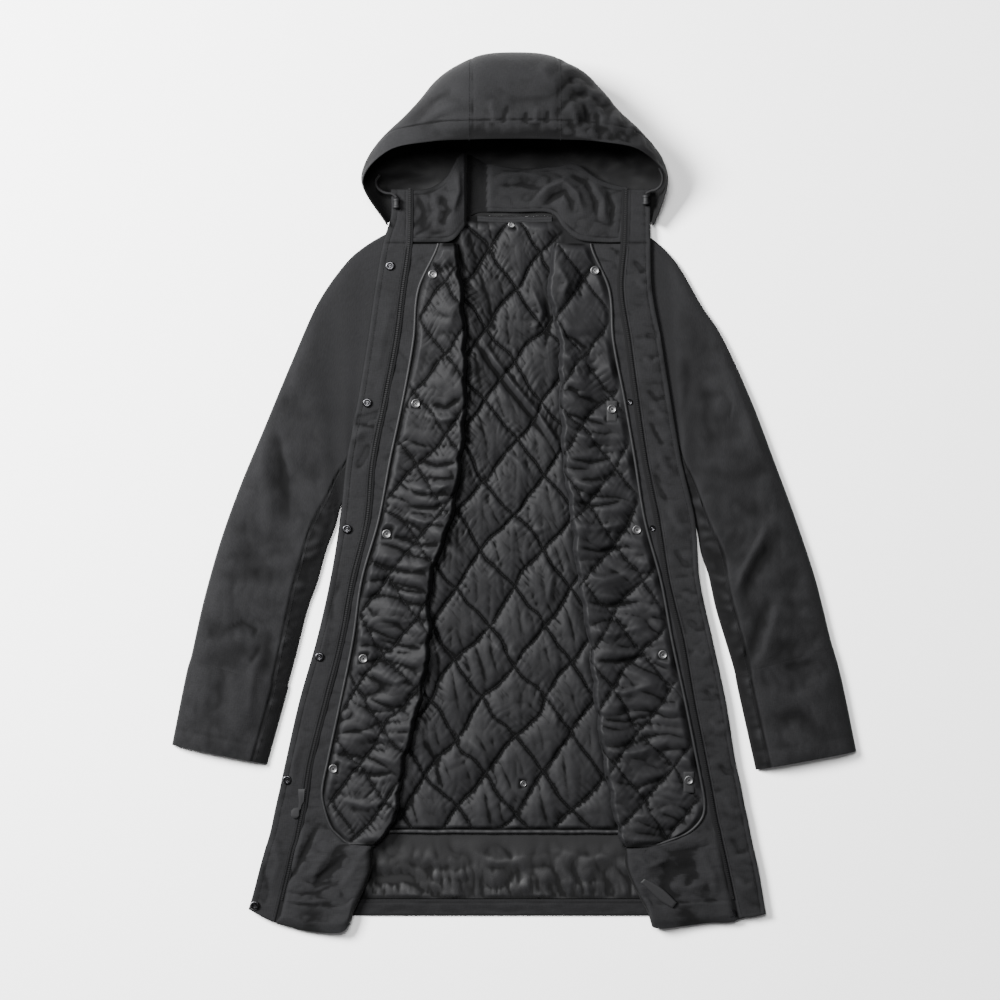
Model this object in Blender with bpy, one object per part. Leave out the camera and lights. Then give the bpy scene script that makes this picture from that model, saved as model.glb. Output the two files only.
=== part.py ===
"""Hooded trench coat laid open on its back, with a diamond-quilted button-out liner.

Both fronts are turned back over the side seams, so the liner, the facings and the snap strip
face up. Sizes are in millimetres and the solids are built in metres. X runs across the coat,
+Y runs from the hem to the hood, +Z is up, and the floor under the back is at 0.
"""
import math
from bisect import bisect_right
from collections import namedtuple

import bpy
from mathutils import Vector
from mathutils.bvhtree import BVHTree

MM = 0.001
GAP = 0.3                  # between two pieces that are sewn or lie together

# Cloth
SHELL = 1.5                # shell with its interlining
BACK_TOP = 1.5
LINING_LOW, LINING_TOP = 1.8, 2.8
LINER_LOW, LINER_TOP = 3.1, 5.1
PUFF = 4.0                 # height of a quilted diamond over its seams
QUILT_X, QUILT_Y = 18.0, 23.0    # half of a diamond's half width and half height
BACK_ROWS = 34
HIDDEN_IN = 34.0           # how far the liner stays inside the side seam

# The turned-back fronts
LEG_LOW = 6.15             # middle of the shell's lower layer
BEND = 1.2                 # radius of the shell's fold
BEND_IN = 6.0              # fold line to the centre of that bend
LEG_UP = LEG_LOW + 2 * BEND
LAID = LEG_UP + SHELL / 2 + GAP   # what lies on the turned-back shell starts here
ROLL = 7.0                 # the quilted front stands up in a soft roll along the fold
ROLL_RUN = 55.0            # and flattens over this distance
STRIP = 1.8                # snap strip and placket strip
FACING = 1.2
LINER_FRONT = 2.0
BEAD = 3.2                 # piping along the liner's edge
NECK_Y = 346.0             # back neck seam
BACK_HEM_Y = -521.0

HEM_START_Y = -440.0       # below this the front hems curve

# Distances out from the centre line at heights along the coat: side or armhole seam, free front
# edge, zip line, liner edge and the fold that the front is turned back along.
Row = namedtuple("Row", "y seam edge zip liner fold")
RIGHT_FRONT = (            # wearer's right, at -X
    Row(380, 148, 153, 131, 88, 70),
    Row(345, 149, 153, 131, 90, 72),
    Row(311, 150, 163, 132, 92, 72),
    Row(254, 163, 173, 140, 117, 64),
    Row(192, 173, 182, 148, 123, 60),
    Row(118, 184, 194, 162, 136, 60),
    Row(43, 195, 208, 177, 152, 65),
    Row(-31, 203, 216, 184, 166, 78),
    Row(-105, 213, 228, 202, 187, 102),
    Row(-180, 229, 245, 216, 198, 104),
    Row(-254, 247, 266, 235, 213, 116),
    Row(-329, 266, 283, 254, 229, 135),
    Row(-366, 275, 291, 260, 236, 141),
    Row(-388, 280, 296, 263, 233, 144),
    Row(-412, 286, 301, 268, 224, 152),
    Row(-427, 289, 305, 271, 209, 166),
    Row(-436, 291, 308, 274, 200, 174),
    Row(-465, 298, 316, 281, 200, 176),
    Row(-521, 311, 329, 296, 226, 200),
)
LEFT_FRONT = (             # wearer's left, at +X
    Row(380, 150, 168, 139, 90, 50),
    Row(311, 152, 168, 137, 92, 48),
    Row(254, 166, 170, 133, 115, 41),
    Row(192, 175, 181, 142, 120, 54),
    Row(118, 186, 193, 152, 134, 56),
    Row(43, 198, 206, 163, 147, 60),
    Row(-31, 208, 223, 178, 159, 70),
    Row(-105, 216, 229, 190, 179, 78),
    Row(-180, 231, 245, 208, 193, 91),
    Row(-254, 247, 261, 221, 209, 99),
    Row(-329, 261, 273, 236, 224, 110),
    Row(-360, 266, 280, 242, 230, 116),
    Row(-382, 271, 284, 246, 233, 120),
    Row(-399, 275, 288, 249, 230, 124),
    Row(-415, 278, 291, 253, 216, 127),
    Row(-425, 280, 293, 255, 197, 130),
    Row(-434, 282, 295, 257, 172, 134),
    Row(-465, 288, 302, 264, 172, 138),
    Row(-521, 296, 311, 277, 200, 166),
)
# How far the front hem lies beyond the back hem, at distances out from the centre line.
Drop = namedtuple("Drop", "out y")
RIGHT_HEM = (Drop(200, 0), Drop(208, -15), Drop(219, -20), Drop(257, -18), Drop(281, -12),
             Drop(305, -4), Drop(329, 9))
LEFT_HEM = (Drop(166, 0), Drop(171, -13), Drop(208, -12), Drop(241, -8), Drop(270, -7),
            Drop(280, -2), Drop(294, -1), Drop(311, 3))

# Sleeves, from the armhole to the cuff: outer edge, inner edge, height and the front seam's
# distance from the inner edge.
Section = namedtuple("Section", "ox oy ix iy height seam")
RIGHT_SLEEVE = (
    Section(-155, 326, -199, 31, 5.0, 40), Section(-184, 309, -203, 17, 5.4, 40),
    Section(-210, 286, -208, 1, 7.2, 40), Section(-244, 237, -216, -16, 8.5, 40),
    Section(-276, 165, -222, -38, 13.0, 38), Section(-313, 76, -234, -71, 15.0, 37),
    Section(-340, 11, -245, -110, 16.0, 33), Section(-364, -56, -256, -140, 17.0, 26),
    Section(-385, -130, -270, -195, 17.0, 22), Section(-400, -197, -280, -232, 17.0, 19),
    Section(-407, -224, -283, -247, 17.0, 18), Section(-424, -309, -307, -333, 16.0, 18),
)
LEFT_SLEEVE = (
    Section(170, 318, 203, 31, 5.0, 40), Section(187, 303, 208, 16, 6.4, 40),
    Section(205, 281, 211.5, 1, 9.6, 40), Section(232, 234, 219, -20, 9.6, 40),
    Section(257, 196, 226, -44, 13.0, 38), Section(292, 120, 231, -72, 15.0, 37),
    Section(324, 36, 240, -99, 16.0, 33), Section(349, -32, 249, -140, 17.0, 26),
    Section(373, -105, 261, -180, 17.0, 22), Section(391, -177, 272, -217, 17.0, 19),
    Section(405, -229, 278, -246, 17.0, 18), Section(423, -317, 299, -340, 16.0, 18),
)
SLEEVE_WALL = 1.4
CUFF_WALL = 1.8
CUFF_FROM = 9.25           # where on the sections the cuff is sewn on
SLEEVE_EDGE = 2.5          # half the thickness of the sleeve's pressed edges

# Main creases of the sleeves: start, end, half width and height (a trough is negative).
Crease = namedtuple("Crease", "x0 y0 x1 y1 wide high")
CREASES = (
    Crease(-298, 87, -281, 10, 13, -3.5), Crease(-281, 10, -276, -46, 12, -3.0),
    Crease(-318, 60, -305, -30, 16, 2.5), Crease(-365, -163, -318, -160, 8, 3.5),
    Crease(-352, -178, -316, -196, 8, -3.0), Crease(-330, -242, -326, -285, 10, 2.0),
    Crease(286, -92, 316, -36, 12, 4.0), Crease(304, -92, 334, -40, 12, -3.5),
    Crease(310, -205, 342, -118, 13, 4.0), Crease(332, -210, 362, -125, 12, -3.0),
    Crease(262, 128, 283, 118, 14, 3.0), Crease(244, 70, 300, 40, 14, -2.5),
)

# Hood hoops, from the front edge over the crown and back along the floor to the neck seam.
# Points go from the neck up the side to the top centre; the hood is the same on both sides
# apart from its neck, which sits a little towards +X.
Hoop = namedtuple("Hoop", "nx ny nz sx sy sz hx hy hz cx cy cz my mz ty tz")
HOOPS = (
    Hoop(163, 333, 17, 186, 385, 40, 152, 430, 76, 102, 440, 93, 443, 100, 444, 103),
    Hoop(165, 335, 12, 188, 392, 22, 154, 443, 66, 104, 458, 89, 464, 105, 465, 108),
    Hoop(163, 337, 8, 184, 402, 8, 144, 452, 44, 104, 483, 76, 497, 100, 500, 103),
    Hoop(160, 339, 4.5, 172, 398, 1.4, 130, 455, 18, 100, 501, 52, 523, 79, 528, 83),
    Hoop(154, 341, 2.5, 154, 392, 0.9, 118, 450, 4, 97, 503, 26, 533, 48, 540, 51),
    Hoop(146, 343, 1.4, 138, 388, 0.9, 108, 442, 0.9, 90, 492, 5, 525, 16, 533, 18),
    Hoop(134, 345, 1.0, 122, 382, 0.9, 96, 425, 0.9, 78, 463, 0.9, 496, 1.2, 506, 1.6),
    Hoop(118, 346.5, 0.9, 106, 368, 0.9, 86, 392, 0.9, 68, 412, 0.9, 428, 0.9, 432, 0.9),
    Hoop(100, 346, 0.9, 90, 346, 0.9, 76, 346, 0.9, 64, 346, 0.9, 346, 0.9, 346, 0.9),
)
HOOD_WALL = 1.6
HOOD_SEAM_X = 52.0
NECK_SHIFT = 7.0

# Stand collar, from the wearer's right end to the left: lower edge, upper edge and height.
Stand = namedtuple("Stand", "lx ly ux uy low_z up_z")
COLLAR = (
    Stand(-130.6, 312.5, -130.6, 377, 9.9, 9.9), Stand(-102, 312.5, -106, 379, 9.9, 10.5),
    Stand(-78, 314, -84, 392, 9.9, 12.0), Stand(-62, 331, -62, 413, 9.0, 13.0),
    Stand(-48, 349, -34, 409, 6.0, 10.0), Stand(0, 350, 8, 404, 5.0, 6.5),
    Stand(44, 349, 50, 406, 6.0, 10.0), Stand(60, 331, 74, 409, 9.0, 13.0),
    Stand(78, 316, 98, 394, 9.9, 12.0), Stand(106, 312.5, 118, 385, 9.9, 10.5),
    Stand(126, 312.5, 137.6, 381, 9.9, 9.9),
)
COLLAR_WALL = 1.8

Spot = namedtuple("Spot", "x y")
STRIP_SNAPS = (Spot(-154, 283), Spot(-182, 114), Spot(-207, -42), Spot(-241, -200),
               Spot(-281, -352), Spot(-321, -507))
FACING_SNAPS = (Spot(142, 115), Spot(170, -41))
HEM_SNAP = Spot(268, -517)
LINER_BUTTONS = (Spot(-101, 272), Spot(-122, 113), Spot(-158, -48), Spot(-187, -202),
                 Spot(-224, -338), Spot(99, 277), Spot(120, 106), Spot(151, -43),
                 Spot(183, -197), Spot(215, -352))
TABBED = (6, 9)            # the liner buttons that hold a tab
BACK_BUTTONS = (Spot(-4, 334), Spot(11, -357))
SNAP_R, SNAP_H = 5.5, 2.2
BUTTON_R, BUTTON_H = 5.5, 2.0
TAB_W, TAB_L, TAB_T = 13.0, 26.0, 1.0

# Outlines seen from above.
SLIDER = (Spot(-259, -364), Spot(-260, -378), Spot(-263, -383), Spot(-263.5, -387),
          Spot(-266, -390), Spot(-266, -396), Spot(-269, -399), Spot(-273, -399), Spot(-276, -396),
          Spot(-276, -390), Spot(-273, -387), Spot(-267, -386), Spot(-266, -378), Spot(-267, -364))
HEM_TAB = (Spot(153, -438), Spot(162, -438), Spot(163, -461), Spot(179, -482), Spot(173, -487),
           Spot(157, -474))
HEM_PULL = (Spot(155, -478), Spot(157, -473), Spot(163, -473), Spot(184, -487), Spot(200, -503),
            Spot(200, -508), Spot(195, -509.5), Spot(178, -500), Spot(158, -484))
HEM_TAB_Z = LAID + FACING + 0.7 * ROLL + GAP

# Hood cords, from the hood's edge to a barrel lock: x, y, z.
CORD_R = 1.5
RIGHT_CORD = ((-166, 394, 25), (-171, 386, 21), (-168, 378, 18), (-160, 373, 17),
              (-151, 371.5, 16.4), (-146, 367.4, 16.2))
LEFT_CORD = ((178, 402, 29), (182, 392, 27), (181, 383, 22), (175, 377, 18.4),
             (168, 375, 16.8), (162, 371.9, 16.3))
LOCK_R, LOCK_L = 4.5, 13.0

COLOURS = {"shell": (0.040, 0.040, 0.041), "lining": (0.060, 0.060, 0.061),
           "satin": (0.052, 0.053, 0.055), "binding": (0.085, 0.085, 0.087),
           "metal": (0.35, 0.35, 0.36), "button": (0.12, 0.12, 0.12), "cord": (0.03, 0.03, 0.03)}


def table_at(rows, at, columns):
    """Every column of a table at one position, as a smooth curve through its rows."""
    keys = [getattr(row, columns[0]) for row in rows]
    if keys[0] > keys[-1]:
        rows, keys = rows[::-1], keys[::-1]
    at = min(max(at, keys[0]), keys[-1])
    i = min(max(bisect_right(keys, at) - 1, 0), len(keys) - 2)
    span = keys[i + 1] - keys[i]
    t = (at - keys[i]) / span

    def slope(k, name):
        lo, hi = max(k - 1, 0), min(k + 1, len(rows) - 1)
        return (getattr(rows[hi], name) - getattr(rows[lo], name)) / (keys[hi] - keys[lo])

    found = []
    for name in columns[1:]:
        a, b = getattr(rows[i], name), getattr(rows[i + 1], name)
        m, n = slope(i, name) * span, slope(i + 1, name) * span
        found.append((2 * t**3 - 3 * t**2 + 1) * a + (t**3 - 2 * t**2 + t) * m
                     + (3 * t**2 - 2 * t**3) * b + (t**3 - t**2) * n)
    return found


def through(points, t):
    """A point on the smooth curve through a list of points, t counting them."""
    i = min(max(int(t), 0), len(points) - 2)
    f = t - i
    a, b = points[i], points[i + 1]
    before, after = points[max(i - 1, 0)], points[min(i + 2, len(points) - 1)]
    return tuple(
        0.5 * (2 * q + (r - p) * f + (2 * p - 5 * q + 4 * r - s) * f * f
               + (3 * q - 3 * r + s - p) * f**3)
        for p, q, r, s in zip(before, a, b, after)
    )


def roll(past_fold):
    """Height of the soft roll at a distance inside the fold line."""
    rise = ease(past_fold / 7) if past_fold < 7 else 1 - ease((past_fold - 7) / ROLL_RUN)
    return ROLL * rise


def ease(t):
    t = min(max(t, 0.0), 1.0)
    return t * t * (3 - 2 * t)


def steps(start, end, count):
    return [start + (end - start) * i / count for i in range(count + 1)]


class Front:
    """One turned-back front: its outline, and the height of what lies on it."""

    def __init__(self, sign, rows, hem):
        self.sign, self.rows, self.hem = sign, rows, hem

    def at(self, y):
        return Row(y, *table_at(self.rows, y, ("y", "seam", "edge", "zip", "liner", "fold")))

    def place(self, out, y, z):
        """A point of the front, its lower rows moved down to the curved hem."""
        if y < HEM_START_Y:
            drop = table_at(self.hem, out, ("out", "y"))[0]
            y += drop * ((HEM_START_Y - y) / (HEM_START_Y - BACK_HEM_Y)) ** 2
        return (self.sign * out, y, z)


RIGHT = Front(-1, RIGHT_FRONT, RIGHT_HEM)
LEFT = Front(1, LEFT_FRONT, LEFT_HEM)


def finish(name, points, faces, colour):
    """A closed mesh in metres with faces turned outwards."""
    mesh = bpy.data.meshes.new(name)
    mesh.from_pydata([tuple(c * MM for c in p) for p in points], [], faces)
    volume = 0.0
    mesh.calc_loop_triangles()
    for tri in mesh.loop_triangles:
        a, b, c = (mesh.vertices[v].co for v in tri.vertices)
        volume += a.dot(b.cross(c))
    if volume < 0:
        mesh.flip_normals()
    material = bpy.data.materials.new(name)
    material.use_nodes = True
    shader = material.node_tree.nodes["Principled BSDF"]
    shader.inputs["Base Color"].default_value = (*COLOURS[colour], 1)
    shader.inputs["Roughness"].default_value = 0.35 if colour in ("satin", "metal") else 0.75
    shader.inputs["Metallic"].default_value = 1.0 if colour == "metal" else 0.0
    mesh.materials.append(material)
    for face in mesh.polygons:
        face.use_smooth = True
    obj = bpy.data.objects.new(name, mesh)
    bpy.context.scene.collection.objects.link(obj)
    return obj


def shut(name, tops, bottoms, colour, diagonal=None, plain=False):
    """A sheet between two grids of points. plain makes one flat face of the lower grid."""
    rows, cols = len(tops), len(tops[0])
    points = [p for row in tops for p in row]
    index = {(0, i, j): i * cols + j for i in range(rows) for j in range(cols)}
    rim = ([(0, j) for j in range(cols)] + [(i, cols - 1) for i in range(1, rows)]
           + [(rows - 1, j) for j in range(cols - 2, -1, -1)]
           + [(i, 0) for i in range(rows - 2, 0, -1)])
    lower = rim if plain else [(i, j) for i in range(rows) for j in range(cols)]
    for i, j in lower:
        index[1, i, j] = len(points)
        points.append(bottoms[i][j])
    faces = []
    for i in range(rows - 1):
        for j in range(cols - 1):
            a, b, c, d = (index[0, i, j], index[0, i, j + 1], index[0, i + 1, j + 1],
                          index[0, i + 1, j])
            if diagonal and diagonal(i, j):
                faces += [(a, b, c), (a, c, d)]
            elif diagonal:
                faces += [(a, b, d), (b, c, d)]
            else:
                faces.append((a, b, c, d))
            if not plain:
                faces.append((index[1, i + 1, j], index[1, i + 1, j + 1], index[1, i, j + 1],
                              index[1, i, j]))
    if plain:
        faces.append([index[1, i, j] for i, j in rim[::-1]])
    for (i, j), (k, m) in zip(rim, rim[1:] + rim[:1]):
        faces.append((index[0, k, m], index[0, i, j], index[1, i, j], index[1, k, m]))
    return finish(name, points, faces, colour)


def minus(a, b):
    return tuple(p - q for p, q in zip(a, b))


def cross(a, b):
    return (a[1] * b[2] - a[2] * b[1], a[2] * b[0] - a[0] * b[2], a[0] * b[1] - a[1] * b[0])


def unit(a):
    length = math.sqrt(sum(c * c for c in a)) or 1.0
    return tuple(c / length for c in a)


def normals(grid):
    """Unit normals of a grid of points, from its neighbours."""
    rows, cols = len(grid), len(grid[0])
    return [[unit(cross(minus(grid[i][min(j + 1, cols - 1)], grid[i][max(j - 1, 0)]),
                        minus(grid[min(i + 1, rows - 1)][j], grid[max(i - 1, 0)][j])))
             for j in range(cols)] for i in range(rows)]


def moved(grid, by, distance):
    return [[tuple(c + n * (distance(i, j) if callable(distance) else distance)
                   for c, n in zip(p, by[i][j])) for j, p in enumerate(row)]
            for i, row in enumerate(grid)]


def wall(name, grid, thick, colour):
    by = normals(grid)
    shut(name, moved(grid, by, thick / 2), moved(grid, by, -thick / 2), colour)


def lattice(row, col):
    """Height of a quilted diamond at a lattice point, from 0 on a seam to 1 at its middle."""
    u, v = (col - row) % 4, (col + row) % 4
    return math.sqrt(min(u, 4 - u) * min(v, 4 - v)) / 2


def lattice_diagonal(row, col):
    """Whether a cell is split along the falling seam, so that its edges follow the quilting."""
    if (col - row) % 4 == 0:
        return True
    if (col + row + 1) % 4 == 0:
        return False
    return (col - row) % 4 < 2


def lifted(grid, z):
    return [[(p[0], p[1], z) for p in row] for row in grid]


# ---- Back of the coat

def back():
    rows = [(NECK_Y - 0.4, 96, 96), (336, 128, 136), (326, 150, 158)]
    for y in (311, 254, 192, 118, 43, -31, -105, -180, -254, -329, -403, -465, BACK_HEM_Y):
        rows.append((y, RIGHT.at(y).seam - 1, LEFT.at(y).seam - 1))
    tops = [[(x, y, BACK_TOP) for x in (-right, -right / 3, left / 3, left)]
            for y, right, left in rows]
    shut("back", tops, lifted(tops, 0.0), "shell")


def lining_back():
    """The body lining, gathered into the hem facing."""
    columns = 44
    tops = []
    for y, full in ((340, 0), (-380, 0), (-411, 0), (-425, 0.35), (-455, 0.6), (-480, 0.9),
                    (-494, 1.0), (-499, 0.5)):
        right, left = RIGHT.at(y).seam - 18, LEFT.at(y).seam - 18
        if y > 300:
            right, left = 110, 116
        row = []
        for j in range(columns + 1):
            x = -right + (right + left) * j / columns
            wave = max(math.cos(math.pi * j), 0) * (0.7 + 0.5 * math.sin(j * 1.9))
            row.append((x, y + full * 1.5 * math.sin(j * 0.8), LINING_TOP + 0.9 * full * wave))
        tops.append(row)
    shut("lining_back", tops, lifted(tops, LINING_LOW), "lining", plain=True)


def hem_facing():
    right, left = RIGHT.at(BACK_HEM_Y).seam - 22, LEFT.at(BACK_HEM_Y).seam - 22
    tops = [[(-right + (right + left) * j / 6, y, 3.0) for j in range(7)]
            for y in (-501.5, -511, BACK_HEM_Y + 0.5)]
    shut("hem_facing", tops, lifted(tops, BACK_TOP + GAP), "shell", plain=True)


def liner_back():
    """The quilted back, raised in diamonds where it shows between the two fronts."""
    inner = range(-9, 10)
    tops = []
    for i in range(BACK_ROWS):
        y = NECK_Y - 1 - QUILT_Y * i
        right, left = RIGHT.at(y), LEFT.at(y)
        wide_r, wide_l = right.seam - HIDDEN_IN, left.seam - HIDDEN_IN
        if y > 312:
            wide_r, wide_l = 100, 104
        row = []
        for j in inner:
            x = min(max(QUILT_X * j, -wide_r + 12 + j + 9), wide_l - 12 + j - 9)
            shows = ease((x + right.fold - 2) / 26) * ease((left.fold - 2 - x) / 26)
            shows *= ease((NECK_Y - 28 - y) / 15) if i < BACK_ROWS - 1 else 0
            row.append((x, y, LINER_TOP + PUFF * lattice(i, j) * shows))
        tops.append([(-wide_r, y, LINER_TOP)] + row + [(wide_l, y, LINER_TOP)])
    shut("liner_back", tops, lifted(tops, LINER_LOW), "satin",
         diagonal=lambda i, j: lattice_diagonal(i, j - 10), plain=True)


def bindings_back():
    """Bound edges of the quilted back, at its hem and at its neck."""
    low = NECK_Y - 1 - QUILT_Y * (BACK_ROWS - 1)
    wide_r, wide_l = RIGHT.at(low).fold + 2, LEFT.at(low).fold + 2
    tops = [[(-wide_r + (wide_r + wide_l) * j / 8, low - GAP - y, z) for j in range(9)]
            for y, z in ((0, 5.0), (0.8, 6.3), (3.0, 6.6), (4.8, 5.0))]
    shut("binding_back_hem", tops, lifted(tops, LINER_LOW + 0.2), "binding", plain=True)
    tops = [[(-46 + 92 * j / 8, NECK_Y - 2 - y, z) for j in range(9)]
            for y, z in ((0, 6.2), (2, 7.4), (6, 7.4), (8, 6.2))]
    shut("binding_back_neck", tops, lifted(tops, LINER_TOP + GAP), "binding", plain=True)


# ---- The turned-back fronts

def front_rows(top, bottom, every=1):
    """Heights of the rows that every piece of a front shares, so that their edges stay apart."""
    rows = [378, 355, 333] + [310.5 - QUILT_Y * i for i in range(30)]
    rows += [-372, -384, -395, -404, -412, -419, -425, -430, -436.5, -465, -495, BACK_HEM_Y]
    rows = [y for y in rows if bottom - 0.1 <= y <= top + 0.1]
    return rows if every == 1 else rows[:-1:every] + rows[-1:]


def front_shell(name, side):
    """The front from its side seam inwards, round the fold and back out to its edge."""
    grid = []
    for y in front_rows(310.5, BACK_HEM_Y, 3):
        row = side.at(y)
        centre = row.fold + BEND_IN
        bend = [(centre - BEND * math.cos(a), LEG_LOW + BEND + BEND * math.sin(a))
                for a in (math.radians(d) for d in (-90, 0, 90))]
        section = [(row.seam, 2.6), (row.seam - 12, 3.9), (row.seam - 30, LEG_LOW)] + bend
        section += [((centre + row.edge) / 2, LEG_UP), (row.edge - 2, LEG_UP)]
        grid.append([side.place(out, y, z) for out, z in section])
    wall(name, grid, SHELL, "shell")


def liner_front(name, side):
    """The quilted front, standing in a soft roll along the fold."""
    ys = front_rows(310.5, -430)
    columns, tops = 6, []
    for i, y in enumerate(ys):
        row = side.at(y)
        start = row.fold + 7
        section = [(row.fold, 1.5), (row.fold + 2.2, LINER_FRONT + roll(4.5))]
        for j, out in enumerate(steps(start, row.liner, columns)):
            puff = PUFF * lattice(i, j) if 0 < i < len(ys) - 1 and j < columns else 0
            section.append((out, LINER_FRONT + roll(out - row.fold) + puff))
        tops.append([side.place(out, y, LAID + z) for out, z in section])
    shut(name, tops, lifted(tops, LAID), "satin",
         diagonal=lambda i, j: lattice_diagonal(i, j - 2), plain=True)


def laid(name, side, top, bottom, outs, thick, colour, lift=0.0, pucker=0.0, rolled=False,
         every=1):
    """A strip lying on the turned-back shell. outs gives its distances out on one row."""
    tops = []
    for i, y in enumerate(front_rows(top, bottom, every)):
        row = side.at(y)
        across = outs(row)
        wave = pucker * (i % 2) * (0.6 + 0.4 * math.sin(i * 2.3))
        tops.append([side.place(out, y, LAID + lift + thick
                                + (wave if 0 < j < len(across) - 1 else 0)
                                + (0.7 * roll(out - row.fold) if rolled and j else 0))
                     for j, out in enumerate(across)])
    shut(name, tops, lifted(tops, LAID + lift), colour, plain=True)


def lift_by(grid, z):
    return [[(p[0], p[1], p[2] + z) for p in row] for row in grid]


def fronts():
    for tag, side in (("r", RIGHT), ("l", LEFT)):
        front_shell(f"front_{tag}", side)
        liner_front(f"liner_front_{tag}", side)
        strip, pucker, every = (("snap_strip_r", 0, 2) if side is RIGHT
                                else ("placket_l", 0.9, 1))
        laid(strip, side, 378, BACK_HEM_Y, lambda r: (r.zip + 0.7, (r.zip + r.edge) / 2, r.edge),
             STRIP, "shell", pucker=pucker, every=every)
        laid(f"facing_{tag}", side, 310.5, -430,
             lambda r: (r.liner + BEAD + 2 * GAP, r.zip - GAP), FACING, "lining")
        laid(f"zip_tape_{tag}", side, 378, -495, lambda r: (r.zip - 6, r.zip - 0.9),
             0.8, "shell", lift=FACING + GAP, every=2)
        laid(f"front_lining_{tag}", side, -436.5, BACK_HEM_Y,
             lambda r: (r.fold + 1, r.fold + 6, r.fold + 16, r.fold + 34,
                        (r.fold + 34 + r.zip) / 2, r.zip - GAP),
             FACING, "lining", rolled=True)
        laid(f"piping_{tag}", side, 310.5, -430,
             lambda r: (r.liner + GAP, r.liner + GAP + BEAD / 2, r.liner + GAP + BEAD),
             2.6, "binding")


# ---- Sleeves

def relief(x, y):
    """Height of the creases at one place."""
    total = 0.0
    for c in CREASES:
        dx, dy = c.x1 - c.x0, c.y1 - c.y0
        t = ((x - c.x0) * dx + (y - c.y0) * dy) / (dx * dx + dy * dy)
        near = min(max(t, 0), 1)
        away = math.hypot(x - c.x0 - near * dx, y - c.y0 - near * dy)
        total += c.high * math.exp(-((away / c.wide) ** 2)) * (0.6 + 0.4 * math.sin(math.pi * near))
    return total


def sleeve_ring(sections, t, thick, swell):
    """Outer and inner points once round the flattened sleeve, from its outer edge over the top."""
    section = Section(*through(sections, t))
    o, inner = (section.ox, section.oy), (section.ix, section.iy)
    width = math.dist(o, inner)
    across = ((inner[0] - o[0]) / width, (inner[1] - o[1]) / width)
    seam = section.seam
    top = [0, 2.5, 9, 20] + steps(34, width - seam - 14, 4) + [width - seam,
                                                              width - seam * 0.45, width - 2.5, width]
    bottom = [width - 4, width * 0.6, width * 0.3, 12, 4]
    outer, inside = [], []

    def add(at, z, at_in, z_in):
        outer.append((o[0] + across[0] * at, o[1] + across[1] * at, z))
        inside.append((o[0] + across[0] * at_in, o[1] + across[1] * at_in, z_in))

    for at in top:
        edge = min(at, width - at)
        if edge < 0.1:
            sign = 1 if at < 1 else -1
            add(at - sign * swell, SLEEVE_EDGE, at + sign * thick, SLEEVE_EDGE)
            continue
        x, y = o[0] + across[0] * at, o[1] + across[1] * at
        rise = math.sqrt(1 - (1 - min(edge / 30, 1)) ** 2)
        z = 2 * SLEEVE_EDGE + (section.height - 2 * SLEEVE_EDGE) * rise
        z += relief(x, y) * ease(edge / 22) * ease((section.height - 6) / 8) + swell
        pull = thick * 0.6 if edge < 3 else 0
        add(at, z, at + (pull if at < width / 2 else -pull), z - thick - (swell if swell else 0) * 0.5)
    for at in bottom:
        pull = thick * 0.6 if min(at, width - at) < 5 else 0
        add(at, 0.0, at + (pull if at < width / 2 else -pull), thick)
    return outer, inside


def sleeve_strip(name, rings, first, last):
    """One panel of the tube, between two of the points round it, with seam allowances taken off."""
    count = len(rings[0][0])

    def cut(points, k, towards):
        a, b = points[k % count], points[towards % count]
        share = GAP / 2 / math.dist(a, b)
        return tuple(p + (q - p) * share for p, q in zip(a, b))

    tops, bottoms = [], []
    for outer, inside in rings:
        for points, kept in ((outer, tops), (inside, bottoms)):
            middle = [points[k % count] for k in range(first + 1, last)]
            kept.append([cut(points, first, first + 1)] + middle + [cut(points, last, last - 1)])
    shut(name, tops, bottoms, "shell")


def tube(name, rings, colour):
    """A closed ring of wall, open at both ends."""
    count = len(rings[0][0])
    points = [p for ring in rings for half in ring for p in half]
    stride = 2 * count
    faces = []
    for i in range(len(rings) - 1):
        a, b = i * stride, (i + 1) * stride
        for j in range(count):
            k = (j + 1) % count
            faces.append((a + j, a + k, b + k, b + j))
            faces.append((a + count + k, a + count + j, b + count + j, b + count + k))
    for base, turn in ((0, 1), ((len(rings) - 1) * stride, -1)):
        for j in range(count):
            k = (j + 1) % count
            faces.append((base + k, base + j, base + count + j, base + count + k)[::turn])
    finish(name, points, faces, colour)


def sleeves():
    seam_top = 9               # the point round the ring where the front seam lies
    for tag, sections in (("r", RIGHT_SLEEVE), ("l", LEFT_SLEEVE)):
        at = [0, 1, 2, 3, 3.5, 4, 4.5, 5, 5.5, 6, 6.5, 7, 7.33, 7.66, 8, 8.4, 8.8,
              CUFF_FROM - 0.01]
        rings = [sleeve_ring(sections, t, SLEEVE_WALL, 0) for t in at]
        count = len(rings[0][0])
        sleeve_strip(f"sleeve_top_{tag}", rings, -2, seam_top)
        sleeve_strip(f"sleeve_under_{tag}", rings, seam_top, count - 2)
        cuff = [sleeve_ring(sections, t, CUFF_WALL, 0.5)
                for t in (CUFF_FROM + 0.02, 9.6, 10, 10.5, 11)]
        tube(f"cuff_{tag}", cuff, "shell")


# ---- Hood and collar

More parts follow.
